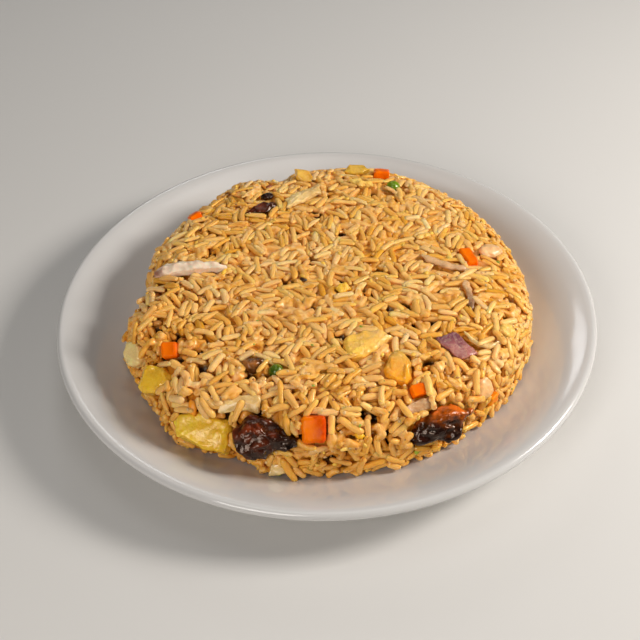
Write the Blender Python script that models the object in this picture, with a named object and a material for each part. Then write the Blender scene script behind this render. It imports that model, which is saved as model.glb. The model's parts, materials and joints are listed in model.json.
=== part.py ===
"""Fried rice plate: a moulded heap of fried rice with its toppings, on a round coupe plate.

The origin is the middle of the plate's foot ring, on the table. +Z is up, and -Y is the side
where the roast pork, the pineapple and the largest carrot dice lie.
"""

import math

import bmesh
import bpy
from mathutils import Matrix, Vector, noise

MM = 0.001
GAP = 0.3 * MM                     # clearance between two pieces that touch

# Plate: a coupe shape, flat in the middle, with a rounded lip and a foot ring underneath.
RIM_RADIUS = 130 * MM
RIM_HEIGHT = 25 * MM
LIP_RADIUS = 2.3 * MM              # half the lip's thickness
WELL_RADIUS = 68 * MM              # where the flat middle ends
WELL_HEIGHT = 5.6 * MM
INNER_BEND = (104 * MM, 108 * MM)  # radii that shape the inner slope
INNER_SHOULDER = 20 * MM           # height that the inner slope heads for
OUTER_BEND = (116 * MM, 102 * MM)  # radii that shape the outer slope
OUTER_SHOULDER = (14.7 * MM, 5 * MM)
FOOT_OUTER = 76 * MM
FOOT_INNER = 70 * MM
FOOT_DEPTH = 2.2 * MM
FOOT_CHAMFER = 1.4 * MM            # how far the foot ring narrows towards its underside
LIP_CREST = (0.5 * MM, 0.06 * MM)  # where the inner slope ends, in from the lip and below its top
LIP_ANGLES = (45, 0, -35, -65)     # corners round the lip, in degrees
INNER_STEPS = 7
OUTER_STEPS = 5
PLATE_SEGMENTS = 48

# Heap: a drum with a rounded shoulder, a little off the plate's middle.
HEAP_CENTRE = Vector((3 * MM, 1 * MM, 0.0))
HEAP_RADIUS = 97.5 * MM
HEAP_BASE = 10 * MM                # height of its widest level
HEAP_RISE = 36 * MM                # from the widest level up to the crown
HEAP_POWER = 5.0                   # 2 is an ellipsoid, more is a squarer shoulder
HEAP_SEGMENTS = 54
HEAP_RINGS = 9
HEAP_LAST_TURN = 86.0              # the lowest ring, in degrees from the crown
HEAP_UNDERSIDE = (0.985, 0.84, 0.66)   # rings under the heap, as shares of its outline
HEAP_ROUGHNESS = 0.9 * MM          # height of the lumps on its surface
HEAP_LUMP = 17 * MM                # distance from one lump to the next

POCKET_CLEARANCE = 1.3 * GAP       # how far a topping's pocket stands off it
SHARP_ANGLE = 40                   # degrees between faces that makes an edge sharp

# Toppings.
EDGE_SOFTNESS = 0.12               # share of a dice's smallest side that its edges lose
WRINKLES = 2.3                     # folds across a lump, in turns of its noise
SLAB_LEVELS = ((-0.5, 0.88), (-0.32, 1.0), (0.32, 1.0), (0.5, 0.88))   # height and width shares
STRIP_SIDES = 6
STRIP_STATIONS = 7
PETAL_COLUMNS = 3
PETAL_ROWS = 2

# Where the outline bulges (+) or is bitten (-): azimuth and half-width in degrees, depth.
OUTLINE_LOBES = (
    (-133, 10, 8 * MM),
    (-105, 14, 1.5 * MM),
    (-165, 10, 4 * MM),
    (177, 10, -9 * MM),
    (158, 12, -3 * MM),
    (140, 10, -2 * MM),
    (117, 8, 4 * MM),
    (108, 4, -6 * MM),
    (76, 22, 4.5 * MM),
    (10, 16, -2 * MM),
    (-50, 20, -1.5 * MM),
)

# Colours, linear RGB, and roughness of each material.
FINISHES = {
    "glazed_porcelain": ((0.60, 0.58, 0.55), 0.15),
    "fried_rice": ((0.62, 0.38, 0.13), 0.45),
    "pineapple": ((0.75, 0.50, 0.07), 0.35),
    "roast_pork": ((0.10, 0.02, 0.01), 0.30),
    "carrot": ((0.90, 0.18, 0.01), 0.35),
    "green_pea": ((0.10, 0.28, 0.02), 0.30),
    "red_onion": ((0.24, 0.08, 0.11), 0.30),
    "cooked_onion": ((0.72, 0.58, 0.30), 0.30),
    "chicken": ((0.72, 0.50, 0.34), 0.45),
    "egg": ((0.85, 0.62, 0.15), 0.50),
}


def clear_scene():
    """Remove every object that the scene starts with."""
    for item in list(bpy.data.objects):
        bpy.data.objects.remove(item, do_unlink=True)


def make_material(name):
    """Principled material with the named finish."""
    colour, roughness = FINISHES[name]
    material = bpy.data.materials.new(name)
    material.use_nodes = True
    shader = material.node_tree.nodes["Principled BSDF"]
    shader.inputs["Base Color"].default_value = (*colour, 1.0)
    shader.inputs["Roughness"].default_value = roughness
    shader.inputs["Metallic"].default_value = 0.0
    return material


def add_object(name, shape, material, placement=None):
    """Turn a bmesh into a named object, with its faces pointing out."""
    if placement is not None:
        shape.transform(placement)
    bmesh.ops.recalc_face_normals(shape, faces=shape.faces)
    mesh = bpy.data.meshes.new(name)
    shape.to_mesh(mesh)
    shape.free()
    mesh.shade_smooth()
    mesh.set_sharp_from_angle(angle=math.radians(SHARP_ANGLE))
    mesh.materials.append(material)
    item = bpy.data.objects.new(name, mesh)
    bpy.context.scene.collection.objects.link(item)
    return item


def bezier(start, near_start, near_end, end, steps):
    """Points along a cubic curve, without its first point."""
    points = []
    for step in range(1, steps + 1):
        t = step / steps
        s = 1.0 - t
        weights = (s**3, 3 * s * s * t, 3 * s * t * t, t**3)
        corners = (start, near_start, near_end, end)
        points.append(tuple(sum(w * c[axis] for w, c in zip(weights, corners)) for axis in (0, 1)))
    return points


# ---------------------------------------------------------------- plate

def inner_profile():
    """Radius and height along the plate's upper face, from its middle to the lip."""
    lip_start = (RIM_RADIUS - LIP_RADIUS - LIP_CREST[0], RIM_HEIGHT - LIP_CREST[1])
    slope = bezier(
        (WELL_RADIUS, WELL_HEIGHT),
        (INNER_BEND[0], WELL_HEIGHT),
        (INNER_BEND[1], INNER_SHOULDER),
        lip_start,
        INNER_STEPS,
    )
    return [(0.0, WELL_HEIGHT), (WELL_RADIUS, WELL_HEIGHT)] + slope


def outer_profile():
    """Radius and height from the lip, down the underside and the foot ring, to the middle."""
    lip_centre = (RIM_RADIUS - LIP_RADIUS, RIM_HEIGHT - LIP_RADIUS)
    lip = []
    for degrees in LIP_ANGLES:
        angle = math.radians(degrees)
        radius = lip_centre[0] + LIP_RADIUS * math.cos(angle)
        height = lip_centre[1] + LIP_RADIUS * math.sin(angle)
        lip.append((radius, height))
    slope = bezier(
        lip[-1],
        (OUTER_BEND[0], OUTER_SHOULDER[0]),
        (OUTER_BEND[1], OUTER_SHOULDER[1]),
        (FOOT_OUTER, FOOT_DEPTH),
        OUTER_STEPS,
    )
    foot = [
        (FOOT_OUTER - FOOT_CHAMFER, 0.0),
        (FOOT_INNER + FOOT_CHAMFER, 0.0),
        (FOOT_INNER, FOOT_DEPTH),
        (0.0, FOOT_DEPTH),
    ]
    return lip + slope + foot


def plate_top(radius):
    """Height of the plate's upper face at a radius."""
    profile = inner_profile()
    for (near, low), (far, high) in zip(profile, profile[1:]):
        if radius <= far:
            return low + (high - low) * (radius - near) / (far - near)
    return profile[-1][1]


def build_plate(material):
    """Turn the plate's profile once round the Z axis."""
    profile = inner_profile() + outer_profile()
    shape = bmesh.new()
    corners = [shape.verts.new((radius, 0.0, height)) for radius, height in profile]
    for first, second in zip(corners, corners[1:]):
        shape.edges.new((first, second))
    mesh = bpy.data.meshes.new("plate")
    shape.to_mesh(mesh)
    shape.free()
    mesh.materials.append(material)
    plate = bpy.data.objects.new("plate", mesh)
    bpy.context.scene.collection.objects.link(plate)
    turn = plate.modifiers.new("turn", "SCREW")
    turn.steps = PLATE_SEGMENTS
    turn.render_steps = PLATE_SEGMENTS
    turn.use_merge_vertices = True
    turn.merge_threshold = 0.01 * MM
    turn.use_smooth_shade = True
    return plate


# ---------------------------------------------------------------- heap of rice

def angle_between(first, second):
    """Difference of two azimuths in degrees, from -180 to 180."""
    return (first - second + 180.0) % 360.0 - 180.0


def heap_outline(azimuth):
    """Radius of the heap's outline at an azimuth in degrees."""
    radius = HEAP_RADIUS
    for middle, half_width, depth in OUTLINE_LOBES:
        radius += depth * math.exp(-((angle_between(azimuth, middle) / half_width) ** 2))
    return radius


def heap_point(azimuth, turn):
    """Point of the smooth heap. Turn goes from 0 at the crown to 90 degrees at the widest level."""
    side = math.sin(math.radians(turn))
    up = math.cos(math.radians(turn))
    reach = (side**HEAP_POWER + up**HEAP_POWER) ** (-1.0 / HEAP_POWER)
    radius = heap_outline(azimuth) * reach * side
    angle = math.radians(azimuth)
    height = HEAP_BASE + HEAP_RISE * reach * up
    return HEAP_CENTRE + Vector((radius * math.cos(angle), radius * math.sin(angle), height))


def heap_normal(azimuth, turn):
    """Outward direction of the smooth heap."""
    turn = max(turn, 2.0)
    around = heap_point(azimuth + 0.5, turn) - heap_point(azimuth - 0.5, turn)
    down = heap_point(azimuth, min(turn + 0.5, 90.0)) - heap_point(azimuth, turn - 0.5)
    return down.cross(around).normalized()


def rough_point(azimuth, turn):
    """Point of the heap with its lumps, kept clear of the plate."""
    point = heap_point(azimuth, turn)
    lift = HEAP_ROUGHNESS * noise.noise(point / HEAP_LUMP)
    point += heap_normal(azimuth, turn) * lift
    point.z = max(point.z, plate_top(math.hypot(point.x, point.y)) + 2 * GAP)
    return point


def add_ring(shape, azimuths, place):
    """One ring of vertices, one for each azimuth."""
    return [shape.verts.new(place(azimuth)) for azimuth in azimuths]


def bridge(shape, upper, lower):
    """Quads between two rings."""
    count = len(upper)
    for index in range(count):
        after = (index + 1) % count
        shape.faces.new((upper[index], lower[index], lower[after], upper[after]))


def foot_point(azimuth, share):
    """Point of the heap's underside, at a share of its outline radius, just above the plate."""
    radius = heap_outline(azimuth) * share
    angle = math.radians(azimuth)
    point = HEAP_CENTRE + Vector((radius * math.cos(angle), radius * math.sin(angle), 0.0))
    point.z = plate_top(math.hypot(point.x, point.y)) + GAP
    return point


def build_rice(material):
    """Heap of rice as one closed solid, down to the plate."""
    azimuths = [360.0 * index / HEAP_SEGMENTS for index in range(HEAP_SEGMENTS)]
    turns = [HEAP_LAST_TURN * (index + 1) / HEAP_RINGS for index in range(HEAP_RINGS)]
    shape = bmesh.new()
    crown = shape.verts.new(rough_point(0.0, 0.0))
    rings = [add_ring(shape, azimuths, lambda a, t=turn: rough_point(a, t)) for turn in turns]
    for share in HEAP_UNDERSIDE:
        rings.append(add_ring(shape, azimuths, lambda a, s=share: foot_point(a, s)))
    bottom = shape.verts.new(HEAP_CENTRE + Vector((0.0, 0.0, WELL_HEIGHT + GAP)))
    for upper, lower in zip(rings, rings[1:]):
        bridge(shape, upper, lower)
    for index in range(HEAP_SEGMENTS):
        after = (index + 1) % HEAP_SEGMENTS
        shape.faces.new((crown, rings[0][index], rings[0][after]))
        shape.faces.new((bottom, rings[-1][after], rings[-1][index]))
    return add_object("rice", shape, material)


def compass(azimuth, elevation=0.0):
    """Unit vector at an azimuth from +X and an elevation above the table, in degrees."""
    flat = math.cos(math.radians(elevation))
    angle = math.radians(azimuth)
    return Vector((flat * math.cos(angle), flat * math.sin(angle), math.sin(math.radians(elevation))))


def seat(azimuth, turn, sink, heading, facing=None):
    """Placement of a piece whose middle lies under the heap's surface by the sink.

    Its Z looks along the facing, an azimuth and an elevation, or along the heap's normal.
    Its X runs along the heading, an azimuth.
    """
    normal = heap_normal(azimuth, turn)
    outward = compass(*facing) if facing else normal
    across = outward.cross(compass(heading)).normalized()
    ahead = across.cross(outward)
    frame = Matrix((ahead, across, outward)).transposed().to_4x4()
    return Matrix.Translation(heap_point(azimuth, turn) - normal * sink) @ frame


# ---------------------------------------------------------------- shapes of the toppings

def dice(length, width, height):
    """Knife-cut dice with softened edges."""
    shape = bmesh.new()
    bmesh.ops.create_cube(shape, size=1.0)
    bmesh.ops.scale(shape, vec=(length, width, height), verts=shape.verts)
    softness = EDGE_SOFTNESS * min(length, width, height)
    bmesh.ops.bevel(shape, geom=shape.edges[:], offset=softness, segments=1, affect="EDGES")
    return shape


def slab(outline, height, taper=0.1, dome=0.0):
    """Cut slice with the given outline, narrower at its top by the taper, with a domed top."""
    shape = bmesh.new()
    count = len(outline)
    middle = Vector((sum(x for x, _ in outline), sum(y for _, y in outline), 0.0)) / count
    rings = []
    for level, width_share in SLAB_LEVELS:
        spread = width_share - taper * max(level, 0.0) * 2.0
        ring = []
        for x, y in outline:
            corner = middle + (Vector((x, y, 0.0)) - middle) * spread
            corner.z = height * level
            ring.append(shape.verts.new(corner))
        rings.append(ring)
    for lower, upper in zip(rings, rings[1:]):
        bridge(shape, upper, lower)
    top = shape.verts.new(middle + Vector((0.0, 0.0, 0.5 * height + dome)))
    base = shape.verts.new(middle - Vector((0.0, 0.0, 0.5 * height)))
    for index in range(count):
        after = (index + 1) % count
        shape.faces.new((top, rings[-1][index], rings[-1][after]))
        shape.faces.new((base, rings[0][after], rings[0][index]))
    return shape


def lump(length, width, height, lobes=(), wrinkle=0.0, detail=2):
    """Rounded lump. A lobe is a direction, how far it stands out and how wide it is."""
    shape = bmesh.new()
    bmesh.ops.create_icosphere(shape, subdivisions=detail, radius=0.5)
    size = Vector((length, width, height))
    for corner in shape.verts:
        facing = corner.co.normalized()
        swell = 1.0
        for direction, rise, breadth in lobes:
            away = facing.angle(Vector(direction).normalized())
            swell += rise * math.exp(-((away / breadth) ** 2))
        swell += wrinkle * noise.noise(facing * WRINKLES + size / MM)
        corner.co = Vector(facing[axis] * size[axis] * 0.5 * swell for axis in range(3))
    return shape


def strip(length, width, height, bend=0.0, arch=0.0, tail=0.6):
    """Strip that bends sideways and arches up, and narrows to its tail."""
    shape = bmesh.new()
    rings = []
    for station in range(STRIP_STATIONS + 1):
        t = station / STRIP_STATIONS
        along = (t - 0.5) * length
        offset = bend * (4.0 * t * (1.0 - t) - 0.5)
        lift = arch * (4.0 * t * (1.0 - t) - 0.5)
        round_end = math.sqrt(max(0.16, 1.0 - abs(2.0 * t - 1.0) ** 6))
        girth = round_end * (1.0 - (1.0 - tail) * t)
        ring = []
        for side in range(STRIP_SIDES):
            angle = math.tau * (side + 0.5) / STRIP_SIDES
            y = offset + 0.5 * width * girth * math.cos(angle)
            z = lift + 0.5 * height * round_end * math.sin(angle)
            ring.append(shape.verts.new((along, y, z)))
        rings.append(ring)
    for first, second in zip(rings, rings[1:]):
        bridge(shape, first, second)
    shape.faces.new(rings[0])
    shape.faces.new(list(reversed(rings[-1])))
    return shape


def petal(length, width, thickness, curl, skew=0.0):
    """Piece of an onion's layer: a thin four-sided sheet, curled across its width."""
    shape = bmesh.new()
    sheets = []
    for side in (0.5, -0.5):
        grid = []
        for row in range(PETAL_ROWS + 1):
            v = row / PETAL_ROWS - 0.5
            height = -curl * 4.0 * v * v + side * thickness
            line = []
            for column in range(PETAL_COLUMNS + 1):
                u = column / PETAL_COLUMNS - 0.5
                line.append(shape.verts.new((u * length + skew * v, v * width, height)))
            grid.append(line)
        sheets.append(grid)
        for near, far in zip(grid, grid[1:]):
            for column in range(PETAL_COLUMNS):
                shape.faces.new((near[column], near[column + 1], far[column + 1], far[column]))
    upper, lower = (edge_loop(grid) for grid in sheets)
    bridge(shape, upper, lower)
    return shape


def edge_loop(grid):
    """Vertices round the edge of a grid, in order."""
    right_side = [line[-1] for line in grid[1:-1]]
    left_side = [line[0] for line in grid[1:-1]]
    return grid[0] + right_side + grid[-1][::-1] + left_side[::-1]


def millimetres(*outline):
    """Outline in metres, from corners in millimetres."""
    return [(x * MM, y * MM) for x, y in outline]


# ---------------------------------------------------------------- toppings

# Name, finish, shape, sizes of the shape, and where it sits on the heap.
TOPPINGS = (
    (
        "pineapple_front", "pineapple", slab,
        dict(
            outline=millimetres(
                (-15, 2), (-11.5, 6.5), (-3, 9), (13, 7), (12, -8.5), (2, -8), (-11.5, -4.5),
            ),
            height=8 * MM,
        ),
        dict(azimuth=-125, turn=68, sink=1.5 * MM, heading=-15, facing=(-105, 48)),
    ),
    (
        "pineapple_left", "pineapple", slab,
        dict(
            outline=millimetres(
                (-10, -3), (-8.5, 3), (-5.5, 6.5), (3, 5.5),
                (10, -1), (7.5, -4.5), (-1.5, -7), (-7, -7),
            ),
            height=8 * MM,
        ),
        dict(azimuth=-145, turn=58, sink=1.5 * MM, heading=-5, facing=(-125, 50)),
    ),
    (
        "pineapple_pale", "pineapple", slab,
        dict(
            outline=millimetres(
                (-7.5, 0), (-6, 5), (-1.5, 6.5), (3.5, 5),
                (7, -0.5), (5.5, -4), (-1.5, -6.5), (-5.5, -4),
            ),
            height=7 * MM,
        ),
        dict(azimuth=-158, turn=62, sink=1 * MM, heading=-20, facing=(-145, 45)),
    ),
    (
        "pineapple_middle", "pineapple", slab,
        dict(
            outline=millimetres(
                (-11.5, -1), (-9.5, 6), (-2, 8.5), (8, 9.5),
                (12.5, 6), (5, -2), (-1.5, -7.5), (-8.5, -8.5),
            ),
            height=7 * MM,
            dome=0.8 * MM,
        ),
        dict(azimuth=-74, turn=29, sink=2 * MM, heading=0),
    ),
    (
        "pineapple_right", "pineapple", slab,
        dict(
            outline=millimetres(
                (0, 9.5), (5, 6), (6.5, 2.5), (7, -5), (5, -8.5),
                (0.5, -9), (-5, -5), (-6.5, -1.5), (-4.5, 5.5),
            ),
            height=9 * MM,
            taper=0.2,
        ),
        dict(azimuth=-67, turn=37, sink=2 * MM, heading=-8, facing=(-100, 62)),
    ),
    (
        "pineapple_back", "pineapple", slab,
        dict(
            outline=millimetres(
                (-5, 5.5), (2.5, 3), (5, -0.5), (3.5, -4), (-0.5, -4.5), (-4, -1),
            ),
            height=4.5 * MM,
        ),
        dict(azimuth=99, turn=42, sink=0.0, heading=0, facing=(-90, 50)),
    ),
    (
        "pineapple_rear", "pineapple", slab,
        dict(
            outline=millimetres(
                (-7.5, -1.5), (-4, 3.5), (4.5, 3.5), (7.5, 0), (4, -3), (-4, -3),
            ),
            height=5 * MM,
        ),
        dict(azimuth=80, turn=45, sink=0.5 * MM, heading=0, facing=(-90, 60)),
    ),
    (
        "pork_front_left", "roast_pork", lump,
        dict(
            length=21 * MM, width=19 * MM, height=13 * MM, wrinkle=0.18, detail=3,
            lobes=(((1.0, -0.25, 0.1), 0.95, 0.36), ((-0.2, -1.0, 0.2), 0.15, 0.5)),
        ),
        dict(azimuth=-111, turn=60, sink=0.5 * MM, heading=2, facing=(-100, 48)),
    ),
    (
        "pork_front_right", "roast_pork", lump,
        dict(
            length=24 * MM, width=13 * MM, height=11 * MM, wrinkle=0.18, detail=3,
            lobes=(
                ((-1.0, -0.75, 0.0), 0.55, 0.45),
                ((0.25, -1.0, -0.1), 0.65, 0.40),
                ((1.0, 0.0, 0.0), 0.30, 0.35),
            ),
        ),
        dict(azimuth=-62, turn=61, sink=0.0, heading=24, facing=(-80, 50)),
    ),
    (
        "pork_back", "roast_pork", lump,
        dict(
            length=17 * MM, width=6.5 * MM, height=5 * MM, wrinkle=0.2,
            lobes=(((-1.0, 0.3, 0.0), 0.2, 0.4),),
        ),
        dict(azimuth=124, turn=32, sink=0.5 * MM, heading=22),
    ),
    (
        "pork_back_small", "roast_pork", lump,
        dict(length=8 * MM, width=5.5 * MM, height=4.5 * MM, wrinkle=0.2),
        dict(azimuth=117, turn=35, sink=0.3 * MM, heading=5),
    ),
    (
        "pork_buried", "roast_pork", lump,
        dict(length=11 * MM, width=8 * MM, height=6 * MM, wrinkle=0.2),
        dict(azimuth=-121, turn=36, sink=1.6 * MM, heading=10),
    ),
    (
        "carrot_front", "carrot", dice,
        dict(length=10.5 * MM, width=11.5 * MM, height=9 * MM),
        dict(azimuth=-96, turn=52, sink=1.8 * MM, heading=2, facing=(-96, 40)),
    ),
    (
        "carrot_left", "carrot", dice,
        dict(length=7.5 * MM, width=7.5 * MM, height=7 * MM),
        dict(azimuth=-148, turn=46, sink=1 * MM, heading=5, facing=(-110, 50)),
    ),
    (
        "carrot_right", "carrot", dice,
        dict(length=11.5 * MM, width=5.5 * MM, height=5.5 * MM),
        dict(azimuth=8, turn=36, sink=1 * MM, heading=-72),
    ),
    (
        "carrot_rear", "carrot", dice,
        dict(length=8 * MM, width=6 * MM, height=6 * MM),
        dict(azimuth=71, turn=44, sink=0.5 * MM, heading=-5),
    ),
    (
        "carrot_rear_left", "carrot", dice,
        dict(length=6.5 * MM, width=5.5 * MM, height=5.5 * MM),
        dict(azimuth=143, turn=47, sink=0.8 * MM, heading=30),
    ),
    (
        "carrot_small", "carrot", dice,
        dict(length=7 * MM, width=5.5 * MM, height=5 * MM),
        dict(azimuth=-65, turn=45, sink=1 * MM, heading=20),
    ),
    (
        "carrot_low_right", "carrot", dice,
        dict(length=6 * MM, width=5 * MM, height=5 * MM),
        dict(azimuth=-43, turn=69, sink=0.5 * MM, heading=50),
    ),
    (
        "pea_back", "green_pea", lump,
        dict(length=7.4 * MM, width=7.2 * MM, height=7 * MM),
        dict(azimuth=64, turn=39, sink=0.8 * MM, heading=0),
    ),
    (
        "pea_front", "green_pea", lump,
        dict(length=7 * MM, width=6.8 * MM, height=6.8 * MM),
        dict(azimuth=-112, turn=36, sink=1.8 * MM, heading=0),
    ),
    (
        "red_onion", "red_onion", petal,
        dict(length=15 * MM, width=9.5 * MM, thickness=1.8 * MM, curl=1.2 * MM, skew=3 * MM),
        dict(azimuth=-43, turn=40, sink=-0.4 * MM, heading=-48),
    ),
    (
        "onion_back", "cooked_onion", petal,
        dict(length=21 * MM, width=7 * MM, thickness=2.4 * MM, curl=0.6 * MM, skew=3 * MM),
        dict(azimuth=102, turn=33, sink=0.0, heading=36),
    ),
    (
        "onion_front", "cooked_onion", petal,
        dict(length=19 * MM, width=7 * MM, thickness=2.2 * MM, curl=0.8 * MM),
        dict(azimuth=-118, turn=48, sink=0.4 * MM, heading=0, facing=(-105, 55)),
    ),
    (
        "onion_right", "cooked_onion", petal,
        dict(length=13 * MM, width=5 * MM, thickness=2 * MM, curl=0.5 * MM, skew=2 * MM),
        dict(azimuth=-67, turn=50, sink=0.0, heading=25),
    ),
    (
        "onion_low", "cooked_onion", petal,
        dict(length=11 * MM, width=6 * MM, thickness=2 * MM, curl=0.6 * MM, skew=2 * MM),
        dict(azimuth=-104, turn=80, sink=0.0, heading=15, facing=(-100, 35)),
    ),
    (
        "onion_strip_upper", "cooked_onion", strip,
        dict(length=25 * MM, width=4.6 * MM, height=2.6 * MM, bend=-1.5 * MM, tail=0.9),
        dict(azimuth=4, turn=30, sink=0.2 * MM, heading=-25),
    ),
    (
        "onion_strip_lower", "cooked_onion", strip,
        dict(length=20 * MM, width=4.8 * MM, height=2.6 * MM, bend=1 * MM, tail=0.7),
        dict(azimuth=-16, turn=35, sink=0.2 * MM, heading=-86),
    ),
    (
        "onion_strip_bent", "cooked_onion", strip,
        dict(length=20 * MM, width=2.8 * MM, height=2.8 * MM, bend=-7 * MM, tail=0.9),
        dict(azimuth=-34, turn=44, sink=0.2 * MM, heading=2),
    ),
    (
        "chicken_left", "chicken", strip,
        dict(length=36 * MM, width=9.5 * MM, height=7 * MM, bend=1 * MM, arch=1 * MM, tail=0.55),
        dict(azimuth=175, turn=39, sink=0.0, heading=-6),
    ),
    (
        "chicken_right", "chicken", lump,
        dict(length=10 * MM, width=12 * MM, height=7 * MM, wrinkle=0.1),
        dict(azimuth=-46, turn=57, sink=1 * MM, heading=40, facing=(-60, 40)),
    ),
    (
        "chicken_rear", "chicken", lump,
        dict(length=14 * MM, width=9 * MM, height=6 * MM, wrinkle=0.1),
        dict(azimuth=12, turn=43, sink=1 * MM, heading=20),
    ),
    (
        "egg_back", "egg", lump,
        dict(length=13 * MM, width=5.5 * MM, height=4.5 * MM, wrinkle=0.25),
        dict(azimuth=76, turn=37, sink=0.5 * MM, heading=-20),
    ),
    (
        "egg_right", "egg", lump,
        dict(length=8 * MM, width=6.5 * MM, height=4.5 * MM, wrinkle=0.25),
        dict(azimuth=-26, turn=48, sink=0.5 * MM, heading=-30),
    ),
    (
        "egg_middle", "egg", lump,
        dict(length=7.5 * MM, width=6 * MM, height=4.5 * MM, wrinkle=0.25),
        dict(azimuth=-66, turn=8, sink=0.5 * MM, heading=-20),
    ),
)


def add_pocket(topping, rice):
    """Cut room for a topping out of the rice, with a clearance all round it."""
    shape = bmesh.new()
    shape.from_mesh(topping.data)
    shape.normal_update()
    moves = [corner.normal * POCKET_CLEARANCE for corner in shape.verts]
    for corner, move in zip(shape.verts, moves):
        corner.co += move
    mesh = bpy.data.meshes.new(topping.name + "_pocket")
    shape.to_mesh(mesh)
    shape.free()
    cutter = bpy.data.objects.new(topping.name + "_pocket", mesh)
    bpy.context.scene.collection.objects.link(cutter)
    cutter.hide_render = True
    cutter.display_type = "WIRE"
    cut = rice.modifiers.new(topping.name + "_pocket", "BOOLEAN")
    cut.operation = "DIFFERENCE"
    cut.solver = "EXACT"
    cut.object = cutter


def build_dish():
    """The plate, the rice on it and every topping in its pocket."""
    clear_scene()
    materials = {name: make_material(name) for name in FINISHES}
    build_plate(materials["glazed_porcelain"])
    rice = build_rice(materials["fried_rice"])
    for name, finish, make_shape, sizes, place in TOPPINGS:
        topping = add_object(name, make_shape(**sizes), materials[finish], seat(**place))
        add_pocket(topping, rice)


build_dish()
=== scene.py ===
"""Fried rice on a coupe plate: an add-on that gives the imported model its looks.

The plate is turned again more finely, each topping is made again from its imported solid, and the
heap is filled with grains that are dropped one by one onto a smaller core.
"""

import json
import math

import bmesh
import bpy
import numpy as np
from bpy.props import (
    FloatProperty,
    FloatVectorProperty,
    IntProperty,
    PointerProperty,
)
from mathutils import Matrix, Vector, noise
from mathutils.bvhtree import BVHTree
from mathutils.kdtree import KDTree

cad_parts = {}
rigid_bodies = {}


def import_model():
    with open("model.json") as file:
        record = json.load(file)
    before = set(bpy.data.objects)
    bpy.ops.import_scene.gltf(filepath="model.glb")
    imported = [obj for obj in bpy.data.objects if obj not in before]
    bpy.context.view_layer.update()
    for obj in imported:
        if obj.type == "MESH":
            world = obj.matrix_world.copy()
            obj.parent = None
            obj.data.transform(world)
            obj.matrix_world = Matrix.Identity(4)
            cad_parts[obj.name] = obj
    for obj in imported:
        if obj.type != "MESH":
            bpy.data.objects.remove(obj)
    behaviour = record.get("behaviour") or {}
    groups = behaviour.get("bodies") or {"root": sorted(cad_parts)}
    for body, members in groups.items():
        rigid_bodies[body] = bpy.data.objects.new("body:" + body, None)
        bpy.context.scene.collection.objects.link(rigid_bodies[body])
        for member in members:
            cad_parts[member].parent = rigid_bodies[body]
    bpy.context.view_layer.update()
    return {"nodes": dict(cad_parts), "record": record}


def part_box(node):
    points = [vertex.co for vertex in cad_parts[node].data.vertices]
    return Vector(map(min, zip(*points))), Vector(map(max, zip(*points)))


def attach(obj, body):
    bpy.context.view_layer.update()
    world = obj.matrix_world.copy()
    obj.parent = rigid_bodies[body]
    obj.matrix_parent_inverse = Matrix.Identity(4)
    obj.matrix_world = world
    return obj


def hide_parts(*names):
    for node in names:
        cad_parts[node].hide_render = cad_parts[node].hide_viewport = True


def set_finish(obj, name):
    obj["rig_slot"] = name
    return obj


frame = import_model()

bl_info = {
    "name": "Fried Rice Plate",
    "version": (1, 0, 0),
    "blender": (4, 5, 0),
    "location": "3D View > Sidebar > Food",
    "description": "Fried rice with pork, pineapple and vegetables on a coupe plate",
    "category": "Object",
}

def srgb(code):
    """Linear RGB of an sRGB hex colour."""
    channels = [int(code[place:place + 2], 16) / 255 for place in (1, 3, 5)]
    return tuple(c / 12.92 if c <= 0.04045 else ((c + 0.055) / 1.055) ** 2.4 for c in channels)


MM = 0.001
BODY = "root"

# ---------------------------------------------------------------- sizes

# Plate: a coupe shape, flat in the middle, with a rounded lip and a foot ring underneath.
PLATE_LOW, PLATE_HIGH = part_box("plate")
RIM_RADIUS = PLATE_HIGH.x
RIM_HEIGHT = PLATE_HIGH.z
LIP_RADIUS = 2.3 * MM
WELL_RADIUS = 68 * MM
WELL_HEIGHT = 5.6 * MM
INNER_BEND = (104 * MM, 108 * MM)
INNER_SHOULDER = 20 * MM
OUTER_BEND = (116 * MM, 102 * MM)
OUTER_SHOULDER = (14.7 * MM, 5 * MM)
FOOT_OUTER = 76 * MM
FOOT_INNER = 70 * MM
FOOT_DEPTH = 2.2 * MM
FOOT_CHAMFER = 1.4 * MM
PLATE_SEGMENTS = 180

# Heap: a drum with a rounded shoulder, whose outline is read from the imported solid.
HEAP_CENTRE = Vector((3 * MM, 1 * MM, 0.0))
HEAP_BASE = 10 * MM
HEAP_RISE = 36 * MM
HEAP_POWER = 5.0
OUTLINE_CORNERS = 54
CORE_DEPTH = 4.0 * MM              # how far the core lies below the heap's outline
CORE_SEGMENTS = 270
CORE_RINGS = 90
STICKY_NET = 0.5 * MM              # net of the grains that stick together
CORE_FOOT = 86 * MM                # nearer the middle, the core's underside is hidden on the plate
STICKY_KEPT = 0.3                  # share of that net's faces that its thinning keeps
MUSH_RELIEF = 0.26 * MM            # how far starch stands out on the grains that stick together

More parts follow.
